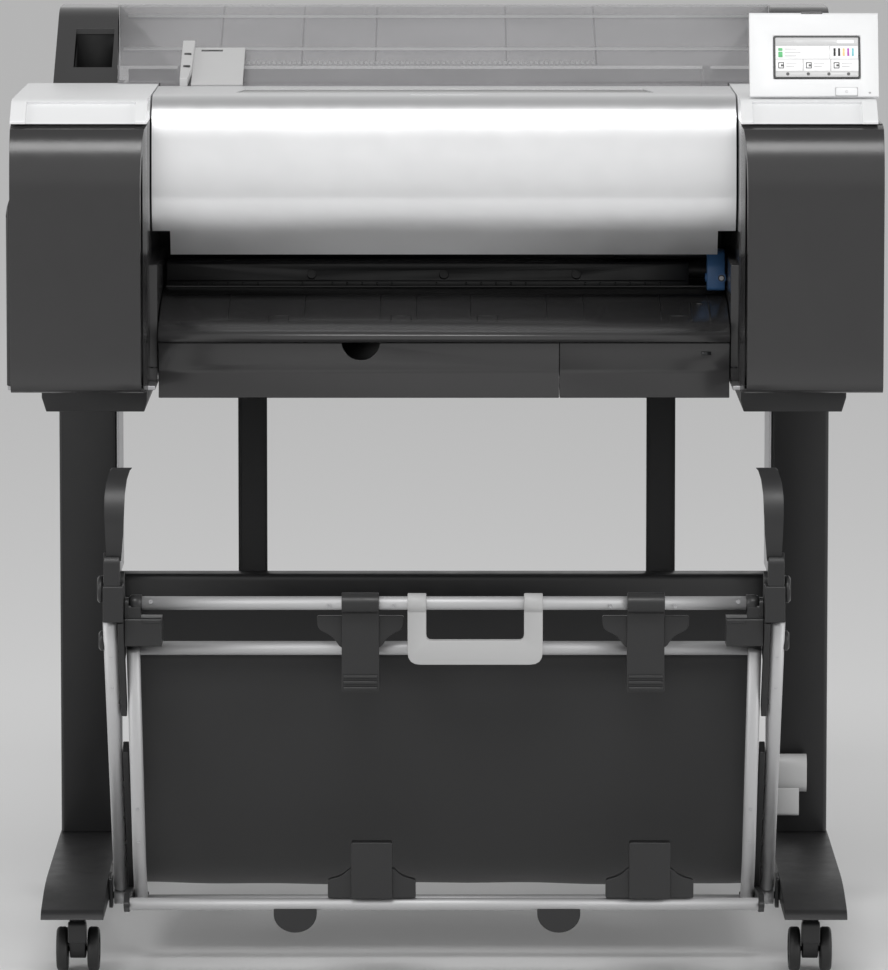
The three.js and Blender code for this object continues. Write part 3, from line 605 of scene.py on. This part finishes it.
def caster_wheels(name, x, y):
    """Twin wheels: rounded tread, recessed disc, hub cap and axle."""
    bodies = []
    for side in (-1, 1):
        near, far = x + side * WHEEL["inner"], x + side * WHEEL["outer"]
        bodies.append(turned_x([
            (near, 0), (near, 21), (near + side * 1.2, 24), (near + side * 3.5, 25), (far - side * 3.5, 25),
            (far - side * 1.2, 24), (far, 21.5), (far, 18.5), (far - side * 2.2, 17.5), (far - side * 2.2, 8),
            (far - side * 0.4, 7), (far - side * 0.4, 0)], y, 25, 56))
    bodies.append(turned_x([(x - 12, 0), (x - 12, 3), (x + 12, 3), (x + 12, 0)], y, 25, 16))
    add(f"wheels_{name}_turned", merged(*bodies), f"wheels_{name}", "caster_rubber", (f"caster_wheels_{name}",))


def caster_fork(name, x, y):
    """Hood over the axle, with a bright stem up into the foot."""
    hood = prism_x(rounded([(y - 13, 44, 8), (y - 4, 27, 6), (y + 8, 15, 6), (y + 25, 15, 6), (y + 40, 29, 10),
                            (y + 35, 51, 14), (y + 6, 61.5, 10), (y - 13, 61.5, 6)], 10), x - 9, x + 9)
    shield = prism_x(rounded([(y - 15, 36, 3), (y - 14, 60, 6), (y - 6, 60), (y - 6, 36)], 6), x - 10.2, x + 10.2)
    add(f"caster_{name}_hood", merged(hood, shield), f"caster_{name}", "black_plastic", (f"caster_fork_{name}",), 1.4, 3)
    stem = prism_z(circle(x, y, 6.4, 40), 60, 86)
    ring = prism_z(circle(x, y, 8.2, 40), 66.5, 70.6)
    add(f"caster_{name}_stem", merged(stem, ring), f"caster_{name}", "steel", width=0.4)


for end, y in (("front", -315), ("rear", 265)):
    for name, side in SIDES:
        caster_fork(f"{end}_{name}", side * 412, y)
        caster_wheels(f"{end}_{name}", side * 412, y + 16)


# ---------------------------------------------------------------- control panel
PANEL_PIVOT = (-246, 991)
PANEL_LEAN = math.radians(18.8)


def on_panel(x, depth, height):
    """Point on the leaning panel: depth from its pivot plane, height up the panel."""
    lean_cos, lean_sin = math.cos(PANEL_LEAN), math.sin(PANEL_LEAN)
    return at(x, PANEL_PIVOT[0] + height * lean_sin + depth * lean_cos,
              PANEL_PIVOT[1] + height * lean_cos - depth * lean_sin)


def panel_plate(outline, front, back):
    return prism(outline, front, back, lambda x, height, depth: on_panel(x, depth, height))


SCREEN = (368.6, 465.7, 8.5, 58.5)
FACE = -10.6


def flat_colour(name, color, glow=0.0):
    material = moulded(name, color, 0.3, 0.02, 0.02, 1500.0, 0.0)
    if glow:
        shader = material.node_tree.nodes["Principled BSDF"]
        shader.inputs["Emission Color"].default_value = (*color, 1.0)
        shader.inputs["Emission Strength"].default_value = glow
    return material


def control_screen():
    """Lit screen with generic tiles, bars and icons, and no lettering."""
    x0, x1, z0, z1 = SCREEN
    paints = {name: flat_colour("screen_" + name, color, 0.35) for name, color in (
        ("page", (0.80, 0.80, 0.80)), ("grey", (0.52, 0.52, 0.52)), ("line", (0.42, 0.42, 0.42)),
        ("green", (0.12, 0.42, 0.18)), ("black", (0.02, 0.02, 0.02)), ("yellow", (0.80, 0.52, 0.26)),
        ("magenta", (0.42, 0.10, 0.42)), ("cyan", (0.20, 0.48, 0.52)), ("dark", (0.10, 0.10, 0.10)))}
    add("screen_bezel", panel_plate(rounded(rectangle(x0, x1, z0, z1, 3)), FACE, -8.9), "control_panel",
        "screen_glass", ("panel_screen",), 0.3)
    layer = {"count": 0}

    def tile(color, a0, a1, b0, b1, radius=0.4, lift=0.06):
        layer["count"] += 1
        outline = rounded(rectangle(x0 + a0, x0 + a1, z0 + b0, z0 + b1, radius), 4)
        add(f"screen_tile_{layer['count']:02d}", panel_plate(outline, FACE - lift, FACE + 0.05), "control_panel",
            "screen_glass", material=paints[color])

    tile("line", 2.2, 94.9, 2.2, 47.8, 1.6)
    tile("grey", 2.6, 94.5, 38.6, 47.4, 0.8, 0.10)
    tile("grey", 2.6, 94.5, 2.6, 8.6, 0.8, 0.10)
    tile("page", 2.6, 62.6, 23.0, 38.2, 0.3, 0.10)
    tile("page", 63.2, 94.5, 23.0, 38.2, 0.3, 0.10)
    for index in range(3):
        tile("page", 2.6 + index * 31.0, 32.9 + index * 31.0 - (0.4 if index < 2 else -0.0), 9.0, 22.4, 0.3, 0.10)
    for index, color in enumerate(("black", "black", "yellow", "magenta", "cyan")):
        tile(color, 67.2 + index * 5.1, 69.6 + index * 5.1, 26.4, 35.4, 0.5, 0.16)
    tile("green", 5.4, 10.2, 25.0, 31.4, 0.5, 0.16)
    tile("green", 5.4, 10.2, 32.4, 35.6, 0.5, 0.16)
    for row in range(3):
        tile("grey", 12.6, 25.5 + 5 * (row % 2), 26.0 + row * 3.9, 27.2 + row * 3.9, 0.3, 0.16)
    tile("grey", 5.0, 24.0, 42.0, 43.6, 0.5, 0.16)
    tile("page", 71.0, 90.0, 41.2, 45.0, 1.2, 0.16)
    for index in range(3):
        left = 5.2 + index * 31.0
        tile("dark", left, left + 6.6, 12.0, 19.2, 0.8, 0.16)
        tile("page", left + 1.0, left + 5.6, 13.0, 18.2, 0.5, 0.2)
        tile("dark", left + 3.0, left + 6.0, 14.4, 16.8, 0.6, 0.24)
        tile("grey", left + 9.0, left + 21.0, 16.8, 18.0, 0.3, 0.16)
        tile("grey", left + 9.0, left + 18.0, 13.6, 14.8, 0.3, 0.16)
    for place in (14.0, 37.0, 60.0, 82.0):
        tile("dark", place, place + 3.6, 3.8, 7.4, 1.8, 0.16)
    power = add("power_ring", panel_ring(450, -6.4, 1.5, 0.35), "power_button", "grey_plastic")
    return power


def panel_ring(x, z, radius, thick):
    """Power sign: an open ring and a stroke on the button."""
    shape = bmesh.new()
    outline = []
    steps = 20
    for side, reach in ((1, radius), (-1, radius - thick)):
        for step in range(steps + 1):
            share = step / steps if side > 0 else 1 - step / steps
            angle = math.radians(125 + 290 * share)
            outline.append((x + reach * math.cos(angle), z + reach * math.sin(angle)))
    shape = panel_plate(outline, -11.08, -10.95)
    stroke = panel_plate([(x - thick / 2, z + 0.2), (x + thick / 2, z + 0.2), (x + thick / 2, z + radius + 0.4),
                          (x - thick / 2, z + radius + 0.4)], -11.08, -10.95)
    return merged(shape, stroke)


control_screen()
add("panel_grip", panel_plate(rounded(rectangle(400, 424, 83.6, 87.2, 1)), -9.6, 4.6), "control_panel", "charcoal_plastic",
    width=0.4)
add("status_lamp", panel_plate(rounded(rectangle(474.6, 477.4, -8.4, -6.6, 0.9), 6), -10.25, -9.8), "control_panel",
    "grey_plastic")


# ---------------------------------------------------------------- doors and white side tops
DOOR_TOP = [((-309, 949.2), (-330, 926), (-330, 880))]
DOOR_PROFILE = [(-290, 656), (-328, 656, 12), (-330, 680, 20)] + [
    tuple(Vector(a) * (1 - t) ** 2 + Vector(b) * 2 * t * (1 - t) + Vector(c) * t * t)
    for a, b, c in DOOR_TOP for t in [1 - step / 14 for step in range(15)]] + [(-297, 952.8), (-290, 952.8)]
DOOR_HOLLOW = [(-289, 661), (-326, 661), (-326, 880), (-321, 915), (-306, 943), (-297, 948), (-289, 948)]


def doors():
    """Front doors: a long rounding at the top, and a flat chamfer down the edge beside the top cover."""
    for node, body, side, outer in (("side_door_left", "side_door", -1, 482.5), ("ink_door_right", "ink_door", 1, 489)):
        inner = side * 331
        shell = prism_x(rounded(DOOR_PROFILE, 10), inner, side * outer)
        hollow = prism_x(DOOR_HOLLOW, inner + side * 4, side * (outer - 4))
        chamfer = prism_z([(inner - side, -332), (inner + side * 6.5, -332), (inner + side * 6.5, -330),
                           (inner - side * 0.01, -297), (inner - side, -297)], 640, 960)
        add(f"{node}_shell", shell, body, "charcoal_plastic", (node,), 1.6 if side < 0 else 3.0, 4,
            tools=(hollow, chamfer))


def side_tops():
    """White shoulders, with a shallow tray-like recess across their fronts."""
    profile = [(-302, 954.7), (-302.5, 958, 2), (-266, TABLE, 9), (65, TABLE, 3), (65, 954.7)]
    inside = [(-280, 950), (-280, 955), (-248, 974), (61, 976), (61, 950)]
    for name, side in SIDES:
        inner, outer = side * 331, side * 483
        tray = prism_x([(-300, 950), (-300, 954.4), (-267, 974.6), (-269.6, 978.3), (-312, 957), (-312, 950)],
                       inner + side * 13, outer - side * 17)
        add(f"side_top_{name}_shell", prism_x(rounded(profile, 8), inner, outer), "root", "white_plastic",
            (f"side_top_{name}",), 1.6, 4, tools=(prism_x(inside, inner + side * 4, outer - side * 4), tray))


doors()
side_tops()


# ---------------------------------------------------------------- roll cover and width guide
SLOPE = curve_through([(19, 971), (60, 985), (150, 1012), (250, 1040), (322, 1057), (346, 1053), (359, 1036),
                       (364, 1008), (364, 984)], 6)


def slope_height(y):
    """Height of the roll cover's line at y, on its rising part."""
    for (y0, z0), (y1, z1) in zip(SLOPE[:28], SLOPE[1:28]):
        if y0 <= y <= y1:
            return z0 + (z1 - z0) * (y - y0) / (y1 - y0)
    return SLOPE[27][1]


def slope_part(low, high, lift, steps=6):
    """Stretch of the roll cover's line between two y values, lifted by a few tenths."""
    stops = [low + (high - low) * step / steps for step in range(steps + 1)]
    return [(y, slope_height(y) + lift) for y in stops]


def widen(obj):
    """Lets the cover's width grow by 22 mm from front to back."""
    for vertex in obj.data.vertices:
        share = min(max((vertex.co.y - SHIFT) / MM - 67, 0) / 285, 1)
        vertex.co.x *= 1 + 0.029 * share


def roll_cover():
    shell = prism_x(ribbon(SLOPE, 3), -378.5, 378.5)
    shoulders = [prism_x(rectangle(0, 67, 950, 981.2), side * 329, side * 380) for _, side in SIDES]
    skin = add("roll_cover_skin", shell, "roll_cover", "smoke_cover", ("roll_cover",), tools=shoulders)
    widen(skin)
    ribs = [prism_x(ribbon(slope_part(112, 326, -2.3, 24), 1.8), x - 0.9, x + 0.9)
            for x in (-262, -166, -80, 73, 178)]
    rails = [prism_x(ribbon(slope_part(y, y + 9, 1.6), 0.8), low, high)
             for y, low, high in ((268, -376, 376), (150, -376, 376))]
    teeth = [prism_x(ribbon(slope_part(104, 112, 1.6), 0.6), x, x + 3.4) for x in range(-296, 178, 6)]
    lip = prism_x(ribbon(slope_part(19, 27, 1.9), 1.4), -328, 328)
    add("roll_cover_ribs", merged(*ribs), "roll_cover", "smoke_cover", material=DARK_SMOKE)
    add("roll_cover_lines", merged(*rails, *teeth, lip), "roll_cover", "smoke_cover", material=PALE_SMOKE)


def width_guide():
    """Paper width guide: a thin plate, a raised fence, two marks, and a grip slot drawn as a dark strip of painted
    shade.
    """
    plate = prism_x(ribbon(slope_part(30, 148, 4.4), 2.6), -293, -233)
    fence = prism([(-306, 30), (-306, 62), (-306, 152), (-292, 152), (-293, 62), (-297, 30)], 0, 1,
                  lambda x, y, top: at(x, y, slope_height(y) + (12.5 if top else 3.1)))
    add("width_guide_plate", merged(plate, fence), "width_guide", "white_plastic", ("width_guide",), 0.7,
        material=PALE_GREY)
    # The first two strips are printed marks on the fence; the third is not cut into the plate but is a dark strip of
    # painted shade for the grip slot.
    for index, (low, high, x0, x1, lift) in enumerate(((64, 69, -303, -295, 12.4), (104, 109, -303, -295, 12.4),
                                                       (134, 139, -284, -259, 5.6))):
        mark_and_slot_shade = prism_x(ribbon(slope_part(low, high, lift), 0.9), x0, x1)
        add(f"width_guide_mark_{index}", mark_and_slot_shade, "width_guide", "screen_glass")


PALE_GREY = moulded("pale_grey_moulded", (0.55, 0.55, 0.55), 0.42, 0.012, 0.04)
# Black for the storage pocket's walls: the matt roughness is the plastic's own, and the darkness below the cap's
# charcoal is painted shade for the inside of the pocket.
POCKET_SHADE_BLACK = moulded("matt_black_pocket_shade", (0.007, 0.007, 0.0072), 0.8, 0.05, 0.05)
DARK_SMOKE = smoked("smoked_rib", (0.16, 0.16, 0.17), 0.3, 0.25)
PALE_SMOKE = smoked("smoked_ridge", (0.52, 0.52, 0.53), 0.3, 0.35)
roll_cover()
width_guide()


# ---------------------------------------------------------------- cloth basket: one sheet from the stay to the front rod
CLOTH_LINE = [
    (121, 367.1), (100, 367.1), (86, 365.6), (78, 350), (66, 320), (47, 260), (20, 205), (-18, 152), (-60, 112),
    (-105, 88), (-150, 78.4), (-196, 84), (-238, 108), (-281, 152), (-321, 210), (-360, 278), (-390, 335), (-416, 377.2),
]
CLOTH_HALF = 345
CLOTH_THICK = 1.2


def cloth_basket():
    """One hanging sheet, settled by a short cloth simulation that may move no point by more than 7 mm."""
    line = [Vector(point) for point in curve_through(CLOTH_LINE, 8)]
    run = [0.0]
    for before, after in zip(line, line[1:]):
        run.append(run[-1] + (after - before).length)
    rows, columns = 96, 72
    shape = bmesh.new()
    grid = []
    for row in range(rows + 1):
        reach = run[-1] * row / rows
        spot = next(index for index in range(len(run) - 1) if run[index + 1] >= reach - 1e-6)
        share = (reach - run[spot]) / (run[spot + 1] - run[spot])
        y, z = line[spot].lerp(line[spot + 1], share)
        free = math.sin(math.pi * row / rows) ** 2
        ring = []
        for column in range(columns + 1):
            x = (CLOTH_HALF + 12 * max(0.0, 1 - 2 * row / rows)) * (2 * column / columns - 1)
            wave = free * (1.6 * math.sin(x / 61 + 2.1 * row / rows) + 0.9 * math.sin(x / 23.5 - 5.0 * row / rows))
            ring.append(shape.verts.new(at(x, y - 0.7 * wave, z + 0.7 * wave)))
        grid.append(ring)
    for low, high in zip(grid, grid[1:]):
        for column in range(columns):
            shape.faces.new((low[column], low[column + 1], high[column + 1], high[column]))
    sheet = object_from("basket_cloth", shape)
    settle(sheet, rows, columns)
    solidify = sheet.modifiers.new("weight", "SOLIDIFY")
    solidify.thickness = CLOTH_THICK * MM
    solidify.offset = 0.0
    apply_all(sheet)
    sheet.data.shade_smooth()
    finish_piece(sheet, None, "cloth_black", ("cloth_front", "cloth_rear"))
    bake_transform(sheet)


def apply_all(obj):
    obj.data = bpy.data.meshes.new_from_object(obj.evaluated_get(bpy.context.evaluated_depsgraph_get()))
    obj.modifiers.clear()


def settle(sheet, rows, columns, limit=7.0):
    """Cloth simulation with both ends pinned, then the result with each point's move capped at limit mm."""
    start = [vertex.co.copy() for vertex in sheet.data.vertices]
    pins = sheet.vertex_groups.new(name="pins")
    across = columns + 1
    held = [row * across + column for row in (*range(0, 9), rows - 1, rows) for column in range(across)]
    pins.add(held, 1.0, "REPLACE")
    cloth = sheet.modifiers.new("cloth", "CLOTH")
    cloth.settings.vertex_group_mass = "pins"
    cloth.settings.quality = 6
    cloth.settings.mass = 0.25
    cloth.settings.tension_stiffness = 40
    cloth.settings.compression_stiffness = 40
    cloth.settings.shear_stiffness = 15
    cloth.settings.bending_stiffness = 2.0
    cloth.settings.air_damping = 4.0
    cloth.point_cache.frame_start = 1
    cloth.point_cache.frame_end = 26
    scene = bpy.context.scene
    for frame_number in range(1, 27):
        scene.frame_set(frame_number)
    settled = bpy.data.meshes.new_from_object(sheet.evaluated_get(bpy.context.evaluated_depsgraph_get()))
    sheet.modifiers.remove(cloth)
    sheet.vertex_groups.clear()
    for vertex, before, after in zip(sheet.data.vertices, start, settled.vertices):
        move = after.co - before
        if move.length > limit * MM:
            move = move.normalized() * limit * MM
        vertex.co = before + move
    bpy.data.meshes.remove(settled)
    scene.frame_set(1)


def straps():
    """Two webbing straps from the cloth's rear edge, behind the stay, up to the machine."""
    for name, x0, x1 in (("left", -242, -208), ("right", 238, 272)):
        line = [(121, 366.6), (121.6, 372), (121.2, 403), (120.2, 520), (121.0, 640), (121.4, 655.6)]
        add(f"strap_{name}", prism_x(ribbon(curve_through(line, 6), 1.6), x0, x1, 8), "root", "cloth_black", width=0.5)
        for edge, (low, high) in enumerate(((x0 + 2.5, x0 + 3.4), (x1 - 3.4, x1 - 2.5))):
            seam = [(y - 1.0, z) for y, z in curve_through(line, 6)]
            add(f"strap_{name}_stitch{edge}", prism_x(ribbon(seam, 0.5), low, high), "root", "cloth_black")


cloth_basket()
straps()


# ---------------------------------------------------------------- lines and marks on the paper path
GUIDE_TOP = [(-61, 752.5), (-160, 744), (-238, 729)]


def guide_height(y):
    for (y0, z0), (y1, z1) in zip(GUIDE_TOP, GUIDE_TOP[1:]):
        if y1 <= y <= y0:
            return z0 + (z1 - z0) * (y - y0) / (y1 - y0)
    return GUIDE_TOP[-1][1]


def on_guide(x0, x1, y0, y1, lift=0.35):
    """Thin raised strip that follows the output guide's slope."""
    stops = [y0 + (y1 - y0) * step / 6 for step in range(7)]
    top = [(y, guide_height(y) + lift) for y in stops]
    bottom = [(y, guide_height(y) - 1) for y in stops[::-1]]
    return prism_x(top + bottom, x0, x1)


def paper_path():
    ribs = [on_guide(x - 0.5, x + 0.5, -110, -232) for x in (-243, -157, -72, -31, 30, 116, 158, 245, 300)]
    cross = [on_guide(-316, 316, -112, -114.5, 0.6), on_guide(-316, 316, -124, -125, 0.3)]
    tabs = []
    for x0, x1 in ((-198, -174.5), (-60, -36.5), (37, 60.5), (254, 278)):
        tabs += [on_guide(x0, x0 + 0.8, -216, -236), on_guide(x1 - 0.8, x1, -216, -236), on_guide(x0, x1, -216, -217)]
    hatch = [on_guide(278.5, 279.5, -166, -237, 0.5), on_guide(300, 301, -166, -237, 0.5),
             on_guide(286, 294, -166, -167.4, 0.5)]
    add("output_guide_lines", merged(*ribs, *cross, *tabs, *hatch), "root", "black_plastic")
    ledges = [prism_x(rectangle(-62, -59, z, z + 1.1), -316, 279) for z in (779.2, 759.4)]
    ticks = []
    for index in range(34):
        x = -300 + index * 17.1
        if index % 9 not in (6, 7) and abs(abs(x) - 152) > 8 and abs(x) > 8:
            ticks.append(prism_x(rectangle(-61.6, -59.5, 754, 758.6), x, x + 1.5))
    add("platen_bar_ledges", merged(*ledges, *ticks), "root", "black_plastic")
    strip = prism_x(rounded(rectangle(-64, -58.5, 752.2, 754.8, 0.8), 4), -319, 319)
    add("guide_rear_strip", strip, "root", "charcoal_plastic", width=0.3)
    # This slot is not cut: a dark bar on the panel is painted shade for its inside.
    slot = prism_x(rounded(rectangle(-251.2, -244, 692, 695.4, 1), 4), 289, 300)
    add("lower_panel_slot_shade", slot, "root", "screen_glass")
    ring = prism_y(circle(316, 768.5, 5.4), -127.6, -125.6)
    add("cutter_ring", ring, "cutter_unit", "blue_plastic", width=0.3)
    add("cutter_ring_core", prism_y(circle(316, 768.5, 3.9), -128.0, -126), "cutter_unit", "black_plastic", width=0.2)
    small_screw("cutter_screw", 316, -129.4, 768.5, 2.6, "cutter_unit")
    for name, side in SIDES:
        notch = prism_x(rounded(rectangle(-237.5, -234.4, 676, 677.2, 0.3), 2), side * 322.6, side * 330)
        add(f"trim_seam_{name}", notch, "root", "screen_glass")


# ---------------------------------------------------------------- stand
def leg_liners():
    """Bare metal inner face of each leg."""
    for name, side in SIDES:
        add(f"leg_liner_{name}", prism_z(rectangle(side * 379.4, side * 381.8, 53.5, 174.5), 404, 622.6), "root",
            "steel", width=0.3)


FOOT_PROFILE = [(-378, 71, 2), (-370.5, 80, 6), (-283, 98, 60), (30, 101, 20), (235, 101, 25), (305, 80, 8),
                (305, 71, 2)]


def feet():
    """Pressed feet with a turned-down toe."""
    for name, side in SIDES:
        inner, outer = side * 380, side * 450
        wells = [prism_z(circle(side * 412, y, 6.5, 32), 60, 86.3) for y in (-315, 265)]
        hollow = prism_x(rectangle(-285, 235, 60, 92), inner + side * 4, outer - side * 4)
        add(f"foot_{name}_pressing", prism_x(rounded(FOOT_PROFILE, 14), inner, outer), "root", "stand_black",
            (f"foot_{name}",), 2.2, 3, tools=(hollow, *wells))


# ---------------------------------------------------------------- roll holder end caps
CAP_OUTER = [(65.3, 661.3), (376, 661.3, 14), (376, 1046, 30), (340, 1060, 20), (229, 1060, 22), (65.3, 971, 4)]
CAP_INNER = [(70.3, 655), (371, 655), (371, 1040, 24), (338, 1055), (232, 1055, 16), (70.3, 967)]


def end_caps():
    """Caps whose inner faces open out towards the back, as the roll cover does."""
    for name, side in SIDES:
        tools = [
            prism_x(rounded(CAP_INNER), side * 384, side * 451),
            prism_x(circle(220, 930, 12.5), side * 378, side * 386),
            prism_z([(side * 379, 60), (side * 379.6, 60), (side * 391, 372), (side * 391, 380), (side * 379, 380)],
                    966, 1070),
        ]
        if side < 0:
            tools.append(prism_x([(111, 964), (187, 964), (187, 1064), (111, 1020)], -433, -388))
        add(f"end_cap_{name}_shell", prism_x(rounded(CAP_OUTER), side * 380, side * 455), "root", "charcoal_plastic",
            (f"end_cap_{name}",), 2.4, 3, tools=tools)
    # The pocket's walls are darker than the cap's plastic: painted shade for the inside of the pocket.
    add("storage_pocket_shade_lining", merged(
        prism_x([(187.5, 961), (188.5, 961), (188.5, 1030), (187.5, 1030)], -433, -388),
        prism_x([(112, 962.4), (187, 962.4), (187, 963.4), (112, 963.4)], -432.6, -388.4),
        prism_x([(112, 963), (187, 963), (187, 1018), (112, 985)], -432.9, -431.9),
        prism_x([(112, 963), (187, 963), (187, 1018), (112, 985)], -389.1, -388.1)),
        "root", "black_plastic", material=POCKET_SHADE_BLACK)
    add("storage_pocket_latch", prism_x(rounded(rectangle(92, 97, 966, 984, 2)), -386.5, -381.5), "root",
        "charcoal_plastic", width=0.8)


# ---------------------------------------------------------------- back of the machine
def back_details():
    """Cooling slots drawn as dark plates of painted shade, screws and a blank rating plate on the rear housing."""
    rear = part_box("rear_housing")[1][1] / MM - SHIFT / MM
    # The cooling slots are not cut: dark plates on the housing's face are painted shade for the insides of the slots.
    slots = [prism_y(rounded(rectangle(x, x + 4, 780, 838, 2), 4), rear - 0.2, rear + 0.25)
             for x in range(-300, -180, 9)]
    add("rear_vent_slot_shade", merged(*slots), "root", "screen_glass")
    for index, (x, z) in enumerate(((-366, 676), (-366, 800), (-366, 930), (366, 676), (366, 930), (0, 676))):
        head = prism_y(circle(x, z, 3.4), rear, rear + 1.6)
        add(f"rear_screw_{index}", head, "root", "steel", width=0.4)
    plate = prism_y(rounded(rectangle(212, 282, 700, 738, 2)), rear - 0.1, rear + 0.5)
    add("rating_plate", plate, "root", "grey_plastic")


refined("side_shell_left", cuts=(
    prism_y([(-482.6, 960), (-500, 960), (-500, 850), (-489.3, 850), (-487.4, 862), (-483.6, 874), (-482.6, 884)],
            -400, 100),))
add("side_shell_left_step", prism_y([(-482.6, 954.4), (-482.6, 884), (-483.6, 874), (-487.4, 862), (-489, 850),
                                     (-485, 846), (-482, 862), (-479.4, 874), (-478.4, 884), (-478.4, 954.4)],
                                    -288, 64.4), "root", "charcoal_plastic")
paper_path()
leg_liners()
feet()
end_caps()
back_details()


# ---------------------------------------------------------------- remaining frame nodes, with softened edges
EDGE = {
    "power_button": 0.3 * MM, "platen_bar": 0.6 * MM, "power_inlet": 0.5 * MM,
    "pull_handle": 3.0 * MM, "ink_door_right": 1.2 * MM, "side_door_left": 1.2 * MM,
}
CUSTOM = {
    "ink_door_right", "side_door_left", "side_top_left", "side_top_right", "roll_cover", "cloth_front", "cloth_rear",
    "width_guide", "side_shell_left", "top_cover", "outer_tube_left", "outer_tube_right", "inner_frame", "rod_a",
    "rod_b", "bottom_rod", "panel_screen",
    *(node for node in SLOT_OF
      if node.startswith(("foot_", "caster_", "side_arm_", "corner_block_", "upper_clip_", "lower_clip_", "end_cap_"))),
}

for node in SLOT_OF:
    if node not in CUSTOM:
        refined(node, EDGE.get(node, 0.8 * MM))


# ---------------------------------------------------------------- floor, light and camera
def stage_floor():
    """Plain pale floor, the same to every ray."""
    mesh = bpy.data.meshes.new("floor")
    half = 30.0
    mesh.from_pydata([(-half, -half, 0), (half, -half, 0), (half, half, 0), (-half, half, 0)], [], [(0, 1, 2, 3)])
    floor = bpy.data.objects.new("floor", mesh)
    bpy.context.scene.collection.objects.link(floor)
    material, _ = new_material("pale_floor", (0.82, 0.82, 0.82), 0.95)
    mesh.materials.append(material)


def area_light(name, location, target, size, power):
    data = bpy.data.lights.new(name, "AREA")
    data.shape = "RECTANGLE"
    data.size, data.size_y = size
    data.energy = power
    lamp = bpy.data.objects.new(name, data)
    lamp.location = location
    aim = Vector(target) - Vector(location)
    lamp.rotation_euler = aim.to_track_quat("-Z", "Y").to_euler()
    bpy.context.scene.collection.objects.link(lamp)


# Brightness of the dome by height (-1 straight down to 1 straight up), in front of and behind the machine.
DOME_FRONT = ((-0.1, 0.05), (0.0, 0.50), (0.08, 0.80), (0.40, 0.80), (1.0, 0.35))
DOME_BACK = ((-0.1, 0.05), (-0.01, 0.75), (0.15, 0.80), (0.50, 0.55), (1.0, 0.35))


def dome_ramp(world, height, stops):
    node = world.node_tree.nodes.new("ShaderNodeValToRGB")
    elements = node.color_ramp.elements
    while len(elements) < len(stops):
        elements.new(0.5)
    for element, (level, brightness) in zip(elements, stops):
        element.position = (level + 1) / 2
        element.color = (brightness, brightness, brightness, 1.0)
    link(world, height, node.inputs["Fac"])
    return node.outputs["Color"]


def remap(tree_owner, value, low, high, smooth=True):
    node = tree_owner.node_tree.nodes.new("ShaderNodeMapRange")
    node.interpolation_type = "SMOOTHSTEP" if smooth else "LINEAR"
    node.inputs["From Min"].default_value = low
    node.inputs["From Max"].default_value = high
    link(tree_owner, value, node.inputs["Value"])
    return node.outputs["Result"]


def studio():
    """A soft dome and three softboxes."""
    world = bpy.data.worlds.new("studio")
    world.use_nodes = True
    background = world.node_tree.nodes["Background"]
    place = world.node_tree.nodes.new("ShaderNodeTexCoord")
    split = world.node_tree.nodes.new("ShaderNodeSeparateXYZ")
    link(world, place.outputs["Generated"], split.inputs["Vector"])
    height = remap(world, split.outputs["Z"], -1.0, 1.0, smooth=False)
    rear = remap(world, split.outputs["Y"], -0.35, 0.35)
    dome = world.node_tree.nodes.new("ShaderNodeMix")
    dome.data_type = "RGBA"
    link(world, rear, dome.inputs["Factor"])
    link(world, dome_ramp(world, height, DOME_FRONT), dome.inputs[6])
    link(world, dome_ramp(world, height, DOME_BACK), dome.inputs[7])
    link(world, dome.outputs[2], background.inputs["Color"])
    background.inputs["Strength"].default_value = 1.0
    bpy.context.scene.world = world
    area_light("key", (-0.4, -4.2, 4.9), (0.0, 0.0, 0.7), (3.2, 1.5), 125.0)
    area_light("side_left", (-4.2, -2.4, 1.9), (0.0, 0.0, 0.6), (1.6, 2.4), 45.0)
    area_light("side_right", (4.2, -2.4, 1.9), (0.0, 0.0, 0.6), (1.6, 2.4), 45.0)


CAMERA_HEIGHT = 1.45
CAMERA_DISTANCE = 8.0
CAMERA_TILT = math.radians(6.39)
LENS = 268.1


def make_camera():
    data = bpy.data.cameras.new("camera")
    data.lens = LENS
    data.sensor_width = 36.0
    data.clip_end = 100.0
    camera = bpy.data.objects.new("camera", data)
    door_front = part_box("ink_door_right")[0][1]
    camera.location = (0.0, door_front - CAMERA_DISTANCE, CAMERA_HEIGHT)
    camera.rotation_euler = (math.pi / 2 - CAMERA_TILT, 0.0, 0.0)
    bpy.context.scene.collection.objects.link(camera)
    bpy.context.scene.camera = camera


stage_floor()
studio()
make_camera()
bpy.context.scene.view_settings.view_transform = "Standard"
